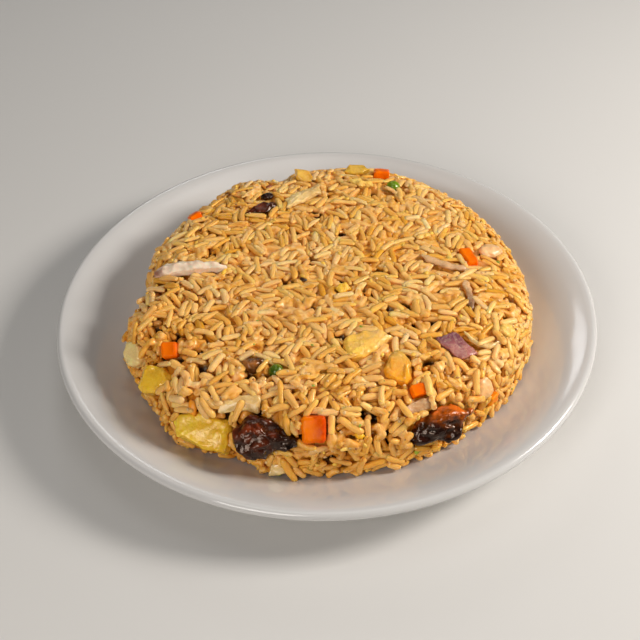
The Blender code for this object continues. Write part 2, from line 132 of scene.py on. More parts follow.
# Grains: cooked long rice.
BALL_SHARES = np.array((-0.8, -0.42, 0.0, 0.42, 0.8))    # balls along half a grain's length
BALL_GIRTHS = np.array((0.66, 0.94, 1.0, 0.94, 0.66))
SETTLE = 0.70                      # share of the contact distance that soft grains press into
TRIES = 7
GRID = 6 * MM
UNDERLAY = -1.2 * MM               # how high the grains under the toppings may reach
BURIED = -2.0 * MM                 # a grain whose top is lower than this hardly shows
BIT_TOPS = (-1.8 * MM, -0.2 * MM)  # how high the crushed bits between the grains may reach
TOPPING_BALL = 0.55 * MM
CORE_RELIEF = 0.6 * MM             # how far the core's lumps stand out
RICE_TAN = srgb("#F5BE68")
RICE_PALE = srgb("#FDD296")
RICE_BROWN = srgb("#E0A02C")
RICE_YELLOW = srgb("#E8A62A")      # yellower and darker colour, given to the grains low on the heap's front left side
RICE_PASTE = srgb("#DC9A22")       # crushed rice and sauce between the grains
RICE_OILY_AND_SHADE = srgb("#CC8004")        # sauce and oil in the gaps, and painted shade on the grains' sides that lie deep in the gaps
RICE_DARK = srgb("#2A0E02")        # the bottom of the deepest gaps, which light hardly reaches
PASTE_REACH = (1.3 * MM, 2.1 * MM)
# Depths over which the rice turns to the oily colour, and how far it goes: partly sauce, partly painted
# shade.
STAIN_AND_SHADE_DEPTH = (0.4 * MM, 2.3 * MM)
STAIN_AND_SHADE_MOST = 0.8
# Depths where the rice is painted near black: painted shade at the bottom of the deepest gaps.
PAINTED_SHADE_DEPTH = (3.7 * MM, 5.4 * MM)

# Patches where the grains are crushed into mush, and pits where the gaps go deep.
PRESSED = 0.55                     # what the mould left of the height of all that stood out
TOPPING_PRESSED = 0.85
PRESS_DEPTH = 1.0 * MM             # how deep under the outline the mould pressed
MUSH_SIZE = 13 * MM
MUSH_LIFT = 1.6 * MM
PACKED_LIFT = 0.9 * MM             # how much fuller the gaps are where the mould pressed
LUMP_SIZE = 2.4 * MM
PITS = 110
PIT_RADII = (1.3 * MM, 2.6 * MM)
PIT_DEPTH = 4 * MM
# Deep gaps beside the front pea and the buried pork: azimuth, turn and radius.
NEAR_PITS = ((-134, 41, 2.6), (-120, 39, 2.4), (-143, 44, 2.2), (-165, 12, 2.4))

# Clumps of grains that stand up, stuck together: azimuth, turn, radius and height in mm.
CLUMPS = ((121, 42, 9, 3.0), (-163, 43, 10, 2.2), (-127, 50, 9, 2.0), (-107, 58, 9, 1.8))

# Node sockets of the colour mix, which share their names.
MIX_FACTOR, MIX_FIRST, MIX_SECOND, MIX_RESULT = 0, 6, 7, 2


# ---------------------------------------------------------------- nodes and materials

def add_node(tree, kind, inputs=None, **settings):
    """Add a node, give it its settings, and set its inputs or link them."""
    node = tree.nodes.new(kind)
    for name, value in settings.items():
        setattr(node, name, value)
    for name, value in (inputs or {}).items():
        if isinstance(value, bpy.types.NodeSocket):
            tree.links.new(value, node.inputs[name])
        else:
            node.inputs[name].default_value = value
    return node


def start_material(name):
    """A new node material, and its tree, shader and position in metres."""
    material = bpy.data.materials.new(name)
    material.use_nodes = True
    tree = material.node_tree
    shader = tree.nodes["Principled BSDF"]
    place = add_node(tree, "ShaderNodeTexCoord").outputs["Object"]
    return material, tree, shader, place


def set_shader(shader, **values):
    """Set the shader's own sockets. An underscore stands for a space in a socket's name."""
    for name, value in values.items():
        shader.inputs[name.replace("_", " ")].default_value = value


def food_material(name, spot_size, spot_depth, bump_size, bump_height, roughness, tint_spots):
    """Material of a moist food, whose colour is the mesh's own tint with fine spots on it."""
    material, tree, shader, place = start_material(name)
    tint = add_node(tree, "ShaderNodeAttribute", attribute_name="tint").outputs["Color"]
    spots = add_node(
        tree, "ShaderNodeTexNoise",
        {"Vector": place, "Scale": 1.0 / spot_size, "Detail": 3.0, "Roughness": 0.6},
    )
    amount = add_node(
        tree, "ShaderNodeMapRange",
        {"Value": spots.outputs["Fac"], "From Min": 0.45, "From Max": 0.75, "To Max": spot_depth},
    )
    colour = add_node(
        tree, "ShaderNodeMix",
        {MIX_FACTOR: amount.outputs["Result"], MIX_FIRST: tint, MIX_SECOND: (*tint_spots, 1.0)},
        data_type="RGBA",
    )
    tree.links.new(colour.outputs[MIX_RESULT], shader.inputs["Base Color"])
    sheen = add_node(
        tree, "ShaderNodeTexNoise", {"Vector": place, "Scale": 1.0 / (2.5 * spot_size), "Detail": 2.0},
    )
    gloss = add_node(
        tree, "ShaderNodeMapRange",
        {
            "Value": sheen.outputs["Fac"], "From Min": 0.35, "From Max": 0.65,
            "To Min": roughness[0], "To Max": roughness[1],
        },
    )
    tree.links.new(gloss.outputs["Result"], shader.inputs["Roughness"])
    grain = add_node(
        tree, "ShaderNodeTexNoise", {"Vector": place, "Scale": 1.0 / bump_size, "Detail": 4.0},
    )
    bump = add_node(
        tree, "ShaderNodeBump",
        {"Height": grain.outputs["Fac"], "Distance": bump_height, "Strength": 1.0},
    )
    tree.links.new(bump.outputs["Normal"], shader.inputs["Normal"])
    tree.links.new(bump.outputs["Normal"], shader.inputs["Coat Normal"])
    return material, shader


def rice_material():
    """Boiled and fried long-grain rice: starchy, half clear, with a thin film of oil.

    Light goes a little way in, so grains glow at their edges, and the oil gives small glints.
    """
    material, shader = food_material(
        "fried_rice_grain", 1.3 * MM, 0.25, 0.9 * MM, 0.11 * MM, (0.22, 0.44), srgb("#D69638"),
    )
    set_shader(
        shader, Subsurface_Weight=0.85, Subsurface_Radius=(1.0, 0.88, 0.5),
        Subsurface_Scale=1.6 * MM, IOR=1.42, Specular_Tint=(1.0, 0.8, 0.5, 1.0),
        Coat_Weight=0.2, Coat_Roughness=0.05, Coat_Tint=(1.0, 0.93, 0.76, 1.0),
    )
    return material


def crumb_material():
    """Crumbs of egg, starch and char in oil: small, uneven and a little shiny."""
    material, shader = food_material(
        "oily_crumb", 1 * MM, 0.25, 0.4 * MM, 0.1 * MM, (0.3, 0.5), srgb("#F0CC80"),
    )
    set_shader(shader, IOR=1.42, Coat_Weight=0.25, Coat_Roughness=0.2)
    return material


def pineapple_material():
    """Cooked pineapple: wet fibrous flesh that light passes into, with bright wet specks."""
    material, shader = food_material(
        "cooked_pineapple", 1.4 * MM, 0.3, 1.1 * MM, 0.26 * MM, (0.16, 0.36), srgb("#FFE478"),
    )
    set_shader(
        shader, Subsurface_Weight=0.35, Subsurface_Radius=(1.0, 0.85, 0.4),
        Subsurface_Scale=1.4 * MM, IOR=1.4, Specular_Tint=(1.0, 0.85, 0.5, 1.0),
        Coat_Weight=0.8, Coat_Roughness=0.06, Coat_Tint=(1.0, 0.95, 0.8, 1.0),
    )
    return material


def pork_material():
    """Roast pork with a burnt sugar glaze: dark mahogany to black, with a hard sticky shine."""
    material, shader = food_material(
        "glazed_roast_pork", 2.4 * MM, 0.7, 0.9 * MM, 0.1 * MM, (0.14, 0.34), srgb("#220A03"),
    )
    set_shader(
        shader, Subsurface_Weight=0.05, Subsurface_Radius=(1.0, 0.3, 0.1),
        Subsurface_Scale=1 * MM, IOR=1.4, Specular_Tint=(1.0, 0.66, 0.42, 1.0),
        Coat_Weight=0.5, Coat_Roughness=0.09, Coat_Tint=(1.0, 0.84, 0.7, 1.0),
    )
    return material


def carrot_material():
    """Boiled carrot dice: smooth wet cut faces of a strong orange, a little clear."""
    material, shader = food_material(
        "boiled_carrot", 1.8 * MM, 0.25, 0.8 * MM, 0.08 * MM, (0.26, 0.42), srgb("#FF8A0C"),
    )
    set_shader(
        shader, Subsurface_Weight=0.1, Subsurface_Radius=(1.0, 0.35, 0.1),
        Subsurface_Scale=1 * MM, IOR=1.26, Specular_Tint=(1.0, 0.6, 0.3, 1.0),
        Coat_Weight=0.06, Coat_Roughness=0.1, Coat_Tint=(1.0, 0.8, 0.6, 1.0),
    )
    return material


def pea_material():
    """Boiled green pea: a thin smooth skin, slightly puckered, with one clean highlight."""
    material, shader = food_material(
        "boiled_pea", 2.5 * MM, 0.3, 1.6 * MM, 0.12 * MM, (0.2, 0.3), srgb("#9CC046"),
    )
    set_shader(
        shader, Subsurface_Weight=0.25, Subsurface_Radius=(0.5, 1.0, 0.2),
        Subsurface_Scale=2 * MM, IOR=1.38, Specular_Tint=(0.9, 1.0, 0.5, 1.0),
        Coat_Weight=0.35, Coat_Roughness=0.05,
    )
    return material


def onion_material():
    """Fried onion: limp, half clear layers with fine lines along them and an oily shine."""
    material, shader = food_material(
        "fried_onion", 1.2 * MM, 0.3, 0.5 * MM, 0.1 * MM, (0.18, 0.38), srgb("#F0E2B8"),
    )
    set_shader(
        shader, Subsurface_Weight=0.45, Subsurface_Radius=(1.0, 0.8, 0.5),
        Subsurface_Scale=3 * MM, IOR=1.4, Coat_Weight=0.5, Coat_Roughness=0.12,
    )
    return material


def chicken_material():
    """Boiled chicken breast: pale, dull and fibrous, with a thin film of oil."""
    material, shader = food_material(
        "cooked_chicken", 1.6 * MM, 0.2, 0.7 * MM, 0.1 * MM, (0.26, 0.44), srgb("#D4A684"),
    )
    set_shader(
        shader, Subsurface_Weight=0.35, Subsurface_Radius=(1.0, 0.5, 0.35),
        Subsurface_Scale=2.5 * MM, IOR=1.42, Coat_Weight=0.3, Coat_Roughness=0.2,
    )
    return material


def egg_material():
    """Scrambled egg: soft dull yellow curds, full of small folds."""
    material, shader = food_material(
        "scrambled_egg", 1.2 * MM, 0.4, 0.6 * MM, 0.25 * MM, (0.32, 0.55), srgb("#FFE9A0"),
    )
    set_shader(
        shader, Subsurface_Weight=0.35, Subsurface_Radius=(1.0, 0.75, 0.2),
        Subsurface_Scale=2 * MM, IOR=1.4, Coat_Weight=0.25, Coat_Roughness=0.2,
    )
    return material


def porcelain_material(settings):
    """Glazed porcelain: a white body under a clear glaze, fired smooth.

    The glaze gives broad soft reflections, and its faint waviness keeps them from being perfect.
    """
    material, tree, shader, place = start_material("glazed_porcelain")
    cloud = add_node(
        tree, "ShaderNodeTexNoise", {"Vector": place, "Scale": 1.0 / (45 * MM), "Detail": 2.0},
    )
    white = add_node(
        tree, "ShaderNodeMix",
        {
            MIX_FACTOR: cloud.outputs["Fac"],
            MIX_FIRST: (*settings.glaze, 1.0),
            MIX_SECOND: (*[channel * 0.94 for channel in settings.glaze], 1.0),
        },
        data_type="RGBA",
    )
    tree.links.new(white.outputs[MIX_RESULT], shader.inputs["Base Color"])
    wear = add_node(
        tree, "ShaderNodeTexNoise", {"Vector": place, "Scale": 1.0 / (9 * MM), "Detail": 4.0},
    )
    dull = add_node(
        tree, "ShaderNodeMapRange",
        {
            "Value": wear.outputs["Fac"], "From Min": 0.3, "From Max": 0.7,
            "To Min": settings.roughness * 0.85, "To Max": settings.roughness * 1.25,
        },
    )
    tree.links.new(dull.outputs["Result"], shader.inputs["Roughness"])
    wave = add_node(
        tree, "ShaderNodeTexNoise", {"Vector": place, "Scale": 1.0 / (16 * MM), "Detail": 1.0},
    )
    bump = add_node(
        tree, "ShaderNodeBump",
        {"Height": wave.outputs["Fac"], "Distance": 0.06 * MM, "Strength": 1.0},
    )
    tree.links.new(bump.outputs["Normal"], shader.inputs["Normal"])
    set_shader(shader, IOR=1.52, Coat_Weight=0.3, Coat_Roughness=0.08)
    return material


def floor_material(settings):
    """Matt painted board under the plate: pale, even and without gloss."""
    material, tree, shader, place = start_material("pale_floor")
    cloud = add_node(
        tree, "ShaderNodeTexNoise", {"Vector": place, "Scale": 1.0 / (200 * MM), "Detail": 2.0},
    )
    grey = add_node(
        tree, "ShaderNodeMix",
        {
            MIX_FACTOR: cloud.outputs["Fac"],
            MIX_FIRST: (*settings.floor, 1.0),
            MIX_SECOND: (*[channel * 0.97 for channel in settings.floor], 1.0),
        },
        data_type="RGBA",
    )
    tree.links.new(grey.outputs[MIX_RESULT], shader.inputs["Base Color"])
    set_shader(shader, Roughness=0.7)
    return material


# ---------------------------------------------------------------- plate

def bezier(start, near_start, near_end, end, steps):
    """Points along a cubic curve, without its first point."""
    t = np.linspace(0.0, 1.0, steps + 1)[1:, None]
    corners = [np.array(corner) for corner in (start, near_start, near_end, end)]
    s = 1.0 - t
    curve = s**3 * corners[0] + 3 * s * s * t * corners[1] + 3 * s * t * t * corners[2]
    return [tuple(point) for point in curve + t**3 * corners[3]]


def inner_profile():
    """Radius and height along the plate's upper face, from its middle to the lip."""
    lip_start = (RIM_RADIUS - LIP_RADIUS - 0.5 * MM, RIM_HEIGHT - 0.06 * MM)
    return [(0.0, WELL_HEIGHT), (0.5 * WELL_RADIUS, WELL_HEIGHT), (WELL_RADIUS, WELL_HEIGHT)] + bezier(
        (WELL_RADIUS, WELL_HEIGHT), (INNER_BEND[0], WELL_HEIGHT),
        (INNER_BEND[1], INNER_SHOULDER), lip_start, 26,
    )


def outer_profile():
    """Radius and height from the lip, down the underside and the foot ring, to the middle."""
    lip = []
    for degrees in range(75, -66, -14):
        angle = math.radians(degrees)
        radius = RIM_RADIUS - LIP_RADIUS + LIP_RADIUS * math.cos(angle)
        lip.append((radius, RIM_HEIGHT - LIP_RADIUS + LIP_RADIUS * math.sin(angle)))
    slope = bezier(
        lip[-1], (OUTER_BEND[0], OUTER_SHOULDER[0]),
        (OUTER_BEND[1], OUTER_SHOULDER[1]), (FOOT_OUTER, FOOT_DEPTH), 18,
    )
    foot = [
        (FOOT_OUTER - FOOT_CHAMFER, 0.0),
        (FOOT_INNER + FOOT_CHAMFER, 0.0),
        (FOOT_INNER, FOOT_DEPTH),
        (0.0, FOOT_DEPTH),
    ]
    return lip + slope + foot


TOP_PROFILE = np.array(inner_profile())


def plate_top(radius):
    """Height of the plate's upper face at a radius."""
    return np.interp(radius, TOP_PROFILE[:, 0], TOP_PROFILE[:, 1])


def link_mesh(name, mesh, material, slot):
    """Put a mesh into the scene as a piece that rides on the dish."""
    mesh.materials.clear()
    mesh.materials.append(material)
    mesh.shade_smooth()
    piece = bpy.data.objects.new(name, mesh)
    bpy.context.scene.collection.objects.link(piece)
    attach(piece, BODY)
    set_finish(piece, slot)
    return piece


def make_plate(settings):
    """Turn the profile round the Z axis."""
    shape = bmesh.new()
    profile = inner_profile() + outer_profile()
    angles = [math.tau * index / PLATE_SEGMENTS for index in range(PLATE_SEGMENTS)]
    rings = []
    for radius, height in profile[1:-1]:
        ring = [shape.verts.new((radius * math.cos(a), radius * math.sin(a), height)) for a in angles]
        rings.append(ring)
    top = shape.verts.new((0.0, 0.0, profile[0][1]))
    base = shape.verts.new((0.0, 0.0, profile[-1][1]))
    for index in range(PLATE_SEGMENTS):
        after = (index + 1) % PLATE_SEGMENTS
        shape.faces.new((top, rings[0][index], rings[0][after]))
        shape.faces.new((base, rings[-1][after], rings[-1][index]))
        for inner, outer in zip(rings, rings[1:]):
            shape.faces.new((inner[index], outer[index], outer[after], inner[after]))
    bmesh.ops.recalc_face_normals(shape, faces=shape.faces)
    mesh = bpy.data.meshes.new("coupe_plate")
    shape.to_mesh(mesh)
    shape.free()
    plate = link_mesh("coupe_plate", mesh, porcelain_material(settings), "glazed_porcelain")
    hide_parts("plate")


# ---------------------------------------------------------------- heap

def measure_outline():
    """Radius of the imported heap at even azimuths, with the first repeated at the end."""
    mesh = frame["nodes"]["rice"].data
    points = np.empty(len(mesh.vertices) * 3)
    mesh.vertices.foreach_get("co", points)
    points = points.reshape(-1, 3) - np.array(HEAP_CENTRE)
    turn = np.degrees(np.arctan2(points[:, 1], points[:, 0])) % 360.0
    step = 360.0 / OUTLINE_CORNERS
    corner = np.round(turn / step).astype(int) % OUTLINE_CORNERS
    reach = np.hypot(points[:, 0], points[:, 1])
    radii = np.array([reach[corner == index].max() for index in range(OUTLINE_CORNERS)])
    return np.append(radii, radii[0])


OUTLINE = measure_outline()


def heap_outline(azimuth):
    """Radius of the heap's outline at an azimuth in degrees."""
    return np.interp(azimuth % 360.0, np.linspace(0.0, 360.0, OUTLINE_CORNERS + 1), OUTLINE)


def heap_point(azimuth, turn):
    """Point of the heap. Turn goes from 0 at the crown to 90 degrees at the widest level."""
    side = math.sin(math.radians(turn))
    up = math.cos(math.radians(turn))
    reach = (side**HEAP_POWER + up**HEAP_POWER) ** (-1.0 / HEAP_POWER)
    radius = heap_outline(azimuth) * reach * side
    angle = math.radians(azimuth)
    height = HEAP_BASE + HEAP_RISE * reach * up
    return HEAP_CENTRE + Vector((radius * math.cos(angle), radius * math.sin(angle), height))


def heap_depth(points):
    """How deep points lie under the heap's outline, nearly, with the way out and the looseness."""
    away = points - np.array(HEAP_CENTRE)
    reach = np.maximum(np.hypot(away[:, 0], away[:, 1]), 1e-6)
    azimuth = np.degrees(np.arctan2(away[:, 1], away[:, 0]))
    outline = heap_outline(azimuth)
    out = reach / outline
    up = np.maximum(away[:, 2] - HEAP_BASE, 0.0) / HEAP_RISE
    level = np.maximum((out**HEAP_POWER + up**HEAP_POWER) ** (1.0 / HEAP_POWER), 0.05)
    steep_out = out ** (HEAP_POWER - 1.0) / outline
    steep_up = up ** (HEAP_POWER - 1.0) / HEAP_RISE
    steep = np.maximum(np.hypot(steep_out, steep_up), 1e-3)
    way = np.column_stack((away[:, :2] * (steep_out / reach)[:, None], steep_up)) / steep[:, None]
    depth = (1.0 - level) * level ** (HEAP_POWER - 1.0) / steep
    return depth, way, looseness(azimuth, np.degrees(np.arctan2(out, up)))


def pressed(points, kept=PRESSED):
    """Points with what stands near the outline pressed flat, as the mould left it."""
    depth, way, loose = heap_depth(points)
    squeeze = kept + (1.0 - kept) * np.clip(1.15 * loose, 0.0, 1.0)
    sink = np.maximum(PRESS_DEPTH - depth, 0.0) * (1.0 - squeeze)
    return points - way * sink[:, None]


def stained_and_shaded(points, colours):
    """Colours of rice at points, turned towards the oily colour deeper in the gaps, partly for sauce gathered
    there and partly as painted shade, and near black at the bottom of the deepest gaps as painted shade.
    """
    depth, _, loose = heap_depth(points)
    share = (STAIN_AND_SHADE_MOST * (0.6 + 0.4 * loose) * smoothstep(depth, *STAIN_AND_SHADE_DEPTH))[:, None]
    # Painted shade: near black at the bottom of the deepest gaps, only above the heap's base height.
    gap_shade = smoothstep(depth, *PAINTED_SHADE_DEPTH)[:, None] * (points[:, 2] > HEAP_BASE)[:, None]
    colours = colours * (1.0 - share) + np.array(RICE_OILY_AND_SHADE) * share
    return colours * (1.0 - gap_shade) + np.array(RICE_DARK) * gap_shade


def heap_normal(azimuth, turn):
    """Outward direction of the heap."""
    turn = max(turn, 2.0)
    around = heap_point(azimuth + 1.0, turn) - heap_point(azimuth - 1.0, turn)
    down = heap_point(azimuth, min(turn + 0.5, 90.0)) - heap_point(azimuth, turn - 0.5)
    return down.cross(around).normalized()


def smoothstep(value, low, high):
    """0 below low, 1 above high, and smooth between them."""
    share = np.clip((value - low) / (high - low), 0.0, 1.0)
    return share * share * (3.0 - 2.0 * share)


def looseness(azimuth, turn):
    """How loosely the grains lie: 0 where the mould pressed them, 1 where they fell apart."""
    ragged = front_share(azimuth) * smoothstep(turn, 15.0, 50.0)
    return 0.1 + 0.9 * ragged


def front_share(azimuth):
    """1 at the heap's front left, fading to 0 at its back right."""
    away = np.abs((azimuth + 125.0 + 180.0) % 360.0 - 180.0)
    return 1.0 - smoothstep(away, 55.0, 125.0)


def fractal(points, size, seed, octaves=3):
    """Noise at each point, about -1 to 1, whose largest features are the given size apart."""
    shift = Vector((seed * 7.13, seed * 3.71, seed * 5.37))
    return np.array([noise.fractal(Vector(p) / size + shift, 0.9, 2.0, octaves) for p in points])


def beads(points, size, seed):
    """How far each point is from the middle of its bead, 0 to about 1, for beads of a size."""
    shift = Vector((seed * 7.13, seed * 3.71, seed * 5.37))
    return np.array([noise.voronoi(Vector(p) / size + shift)[0][0] for p in points]) * 1.1


# ---------------------------------------------------------------- toppings

# What each kind is made as: net size, how far its outline wanders, and the relief's steps as
# size, depth and form.
KINDS = {
    "pineapple": (0.5 * MM, 0.9 * MM, ((5 * MM, 0.4 * MM, "soft"), (1.3 * MM, 0.1 * MM, "soft"))),
    "roast_pork": (
        0.42 * MM, 0.9 * MM,
        ((6 * MM, 1.0 * MM, "soft"), (4.2 * MM, 1.1 * MM, "beads"), (1.3 * MM, 0.18 * MM, "soft")),
    ),
    "carrot": (0.4 * MM, 0.4 * MM, ((4 * MM, 0.2 * MM, "soft"), (1.2 * MM, 0.07 * MM, "soft"))),
    "green_pea": (0.35 * MM, 0.1 * MM, ((3 * MM, 0.16 * MM, "soft"),)),
    "red_onion": (0.35 * MM, 1.1 * MM, ((4 * MM, 0.35 * MM, "soft"),)),
    "cooked_onion": (0.35 * MM, 1.0 * MM, ((4 * MM, 0.3 * MM, "soft"),)),
    "chicken": (0.45 * MM, 0.7 * MM, ((5 * MM, 0.4 * MM, "soft"), (1.4 * MM, 0.08 * MM, "soft"))),
    "egg": (0.38 * MM, 1.1 * MM, ((3 * MM, 0.9 * MM, "soft"), (1.4 * MM, 0.4 * MM, "ridges"))),
}
TOPPING_KEPT = 0.55                # share of a net's faces that its thinning keeps
WANDER_LENGTH = 5 * MM             # distance from one bulge of an outline to the next
DEFAULT_TINTS = {
    "pineapple": ("#E2B43C", "#D2A83C", 0.0),
    "roast_pork": ("#6A2C10", "#2C0E05", -90.0),
    # Peas are lighter at the back and darker at the front: painted light and shade on a pea of one green.
    "carrot": ("#FF7602", "#F06400", 0.0),
    "green_pea": ("#869E10", "#587408", -90.0),
    "red_onion": ("#BE8484", "#7C4456", 100.0),
    "cooked_onion": ("#EFCB84", "#E2B870", 0.0),
    "chicken": ("#F2C084", "#E8B47A", 0.0),
    "egg": ("#F8CA62", "#F0BC4E", 0.0),
}
# Colour at the near end and at the far end, and the azimuth from one end to the other.
PIECE_TINTS = {
    "pineapple_front": ("#FFD03E", "#FFC42E", -40.0),
    "pineapple_left": ("#FFC832", "#ECB22C", 0.0),
    "pineapple_pale": ("#FFE2A4", "#FFD692", 0.0),
    "pineapple_middle": ("#FFC656", "#F2C070", 20.0),
    "pineapple_right": ("#DAAC52", "#FFA81E", -110.0),
    "pineapple_back": ("#EABA4C", "#DCA43A", 0.0),
    "pork_front_left": ("#5C2209", "#1A0804", 0.0),
    "pork_front_right": ("#AA5410", "#260A04", -90.0),
    "pork_back": ("#5A220C", "#2A0E06", 0.0),
    "pork_back_small": ("#2C120A", "#180806", 0.0),
    "pork_buried": ("#96602A", "#5E3614", 0.0),
    # This carrot dice is darker towards its right side: painted shade.
    "carrot_front": ("#FF7A02", "#D84402", 0.0),
    "carrot_low_right": ("#FF9C20", "#FF8A10", 0.0),
    # This pea is lighter at the back and darker at the front: painted light and shade on a pea of one green.
    "pea_front": ("#687810", "#304A06", -90.0),
    "red_onion": ("#B4706A", "#74384A", 100.0),
    "onion_strip_upper": ("#E8B680", "#CEA072", -25.0),
    "onion_strip_lower": ("#E2B078", "#94684A", -90.0),
    "onion_right": ("#D0A070", "#B88A5C", 0.0),
    "chicken_left": ("#FFE2C6", "#A4705A", 180.0),
    "chicken_right": ("#F4C07C", "#EDB674", 0.0),
    "egg_middle": ("#FFC42C", "#F6B424", 0.0),
}
# Share of a piece's length where its far colour begins and where it is reached.
TINT_CHANGE = {"chicken_left": (0.82, 1.1), "pork_front_right": (0.4, 0.8)}
FIBRES = {"pineapple": 0.2, "chicken": 0.08, "cooked_onion": 0.06}    # how much fibres show
# How many of a grain's five balls may lie over a topping.
COVER = {
    "pork_buried": 2, "onion_front": 3, "onion_right": 5, "onion_low": 3, "carrot_small": 2,
    "onion_strip_bent": 2, "egg_right": 3, "carrot_low_right": 2, "pineapple_middle": 2,
    "pea_back": 2, "pineapple_front": 0, "pineapple_left": 0, "pineapple_pale": 0,
    "pineapple_right": 0, "pork_front_left": 0, "pork_front_right": 0, "pork_back": 0,
    "carrot_left": 0, "carrot_right": 0, "red_onion": 0, "pea_front": 1, "chicken_left": 0,
    "egg_middle": 0, "onion_back": 0,
}
USUAL_COVER = 1
OVER_TOPPING = 1.0 * MM            # how much higher a grain may lie where it leans on a topping
MORE_COVER_CHANCE = 0.25           # how often a grain may lie over a topping by one ball more
ROUNDS = {"red_onion": 6, "cooked_onion": 12, "carrot": 5}    # smoothing of the net


def nodes_of(slot):
    """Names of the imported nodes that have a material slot."""
    return [part["node"] for part in frame["record"]["subparts"] if part["material_slot"] == slot]


def voxel_mesh(mesh, size, rounds, kept):
    """The skin round a mesh's solids, smoothed and thinned. The mesh given is used up."""
    source = bpy.data.objects.new("net", mesh)
    bpy.context.scene.collection.objects.link(source)
    remesh = source.modifiers.new("net", "REMESH")
    remesh.mode = "VOXEL"
    remesh.voxel_size = size
    smooth = source.modifiers.new("smooth", "SMOOTH")
    smooth.iterations = rounds
    thin = source.modifiers.new("thin", "DECIMATE")
    thin.ratio = kept
    thin.use_collapse_triangulate = True
    depsgraph = bpy.context.evaluated_depsgraph_get()
    skin = bpy.data.meshes.new_from_object(source.evaluated_get(depsgraph))
    bpy.data.objects.remove(source)
    bpy.data.meshes.remove(mesh)
    return skin


def read_points(mesh):
    """The mesh's vertices, as an array."""
    points = np.empty(len(mesh.vertices) * 3)
    mesh.vertices.foreach_get("co", points)
    return points.reshape(-1, 3)


def read_normals(mesh):
    """The mesh's vertex normals, as an array."""
    normals = np.empty(len(mesh.vertices) * 3)
    mesh.vertex_normals.foreach_get("vector", normals)
    return normals.reshape(-1, 3)


def set_tint(mesh, colours):
    """Store a linear colour for each vertex."""
    tint = mesh.color_attributes.new("tint", "FLOAT_COLOR", "POINT")
    rgba = np.ones((len(colours), 4), dtype=np.float32)
    rgba[:, :3] = np.clip(colours, 0.0, 1.0)
    tint.data.foreach_set("color", rgba.ravel())


def make_topping(node, kind, material, seed):
    """One topping with its relief and its own colours."""
    size, wander, steps = KINDS[kind]
    mesh = voxel_mesh(frame["nodes"][node].data.copy(), size, ROUNDS.get(kind, 3), TOPPING_KEPT)
    points = read_points(mesh)
    drift = [fractal(points, WANDER_LENGTH, seed + 20 + axis, 2) for axis in range(3)]
    points = points + wander * np.stack(drift, axis=1)
    mesh.vertices.foreach_set("co", points.ravel())
    mesh.update()
    normals = read_normals(mesh)
    lift = np.zeros(len(points))
    for index, (step, depth, form) in enumerate(steps):
        if form == "beads":
            lift += depth * (0.4 - beads(points, step, seed + index))
            continue
        wave = fractal(points, step, seed + index)
        lift += depth * (0.35 - np.abs(wave) * 1.3 if form == "ridges" else wave * 0.8)
    lift = np.minimum(lift, 0.6 * MM)
    points = pressed(points + normals * lift[:, None], TOPPING_PRESSED)
    mesh.vertices.foreach_set("co", points.ravel())
    mesh.update()
    first, second, azimuth = PIECE_TINTS.get(node, DEFAULT_TINTS[kind])
    way = np.array((math.cos(math.radians(azimuth)), math.sin(math.radians(azimuth)), 0.0))
    along = points @ way
    share = (along - along.min()) / (along.max() - along.min())
    begins, reached = TINT_CHANGE.get(node, (0.25, 0.85))
    share = smoothstep(share + 0.2 * fractal(points, 4 * MM, seed + 9), begins, reached)[:, None]
    colours = np.array(srgb(first)) * (1.0 - share) + np.array(srgb(second)) * share
    shade = 1.0 + 0.16 * fractal(points, 2.2 * MM, seed + 5)
    if kind in FIBRES:
        drawn = points - 0.8 * along[:, None] * way
        shade += FIBRES[kind] * fractal(drawn, 1.5 * MM, seed + 13)
    if kind == "roast_pork":
        # Painted shade and light: the relief's hollows are darkened, faces that look up are made lighter and
        # faces that look down darker.
        shade *= 0.2 + 0.9 * smoothstep(lift, -0.7 * MM, 0.3 * MM)
        shade *= 0.5 + 1.1 * smoothstep(normals[:, 2], 0.2, 0.95)
    set_tint(mesh, colours * shade[:, None])
    piece = link_mesh(node + "_piece", mesh, material, kind)
    piece["topping"] = node
    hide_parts(node)


def make_toppings(kind, material):
    """Every topping of one kind."""
    for index, node in enumerate(nodes_of(kind)):
        make_topping(node, kind, material, 11 * index + len(kind))


# ---------------------------------------------------------------- grains

class Pile:
    """Balls that stand for all that a falling grain can land on, found by grid cell."""

    def __init__(self, room):
        self.centres = np.zeros((room, 3))
        self.radii = np.zeros(room)
        self.owners = np.full(room, -1)
        self.count = 0
        self.cells = {}

    def add(self, centres, radii, owner):
        """Add balls. The owner is a topping's number, or -1 for a grain."""
        first, self.count = self.count, self.count + len(centres)
        self.centres[first:self.count] = centres
        self.radii[first:self.count] = radii
        self.owners[first:self.count] = owner
        for index, cell in enumerate(np.floor(centres / GRID).astype(int).tolist(), first):
            self.cells.setdefault(tuple(cell), []).append(index)

    def near(self, point, reach):
        """Numbers of the balls in the cells round a point."""
        low = np.floor((point - reach) / GRID).astype(int).tolist()
        high = np.floor((point + reach) / GRID).astype(int).tolist()
        found = []
        for x in range(low[0], high[0] + 1):
            for y in range(low[1], high[1] + 1):
                for z in range(low[2], high[2] + 1):
                    found += self.cells.get((x, y, z), ())
        return np.array(found, dtype=int)


def tangents(normal):
    """Two directions across a normal."""
    helper = np.array((0.0, 0.0, 1.0)) if abs(normal[2]) < 0.9 else np.array((1.0, 0.0, 0.0))
    first = np.cross(helper, normal)
    first /= np.linalg.norm(first)
    return first, np.cross(normal, first)


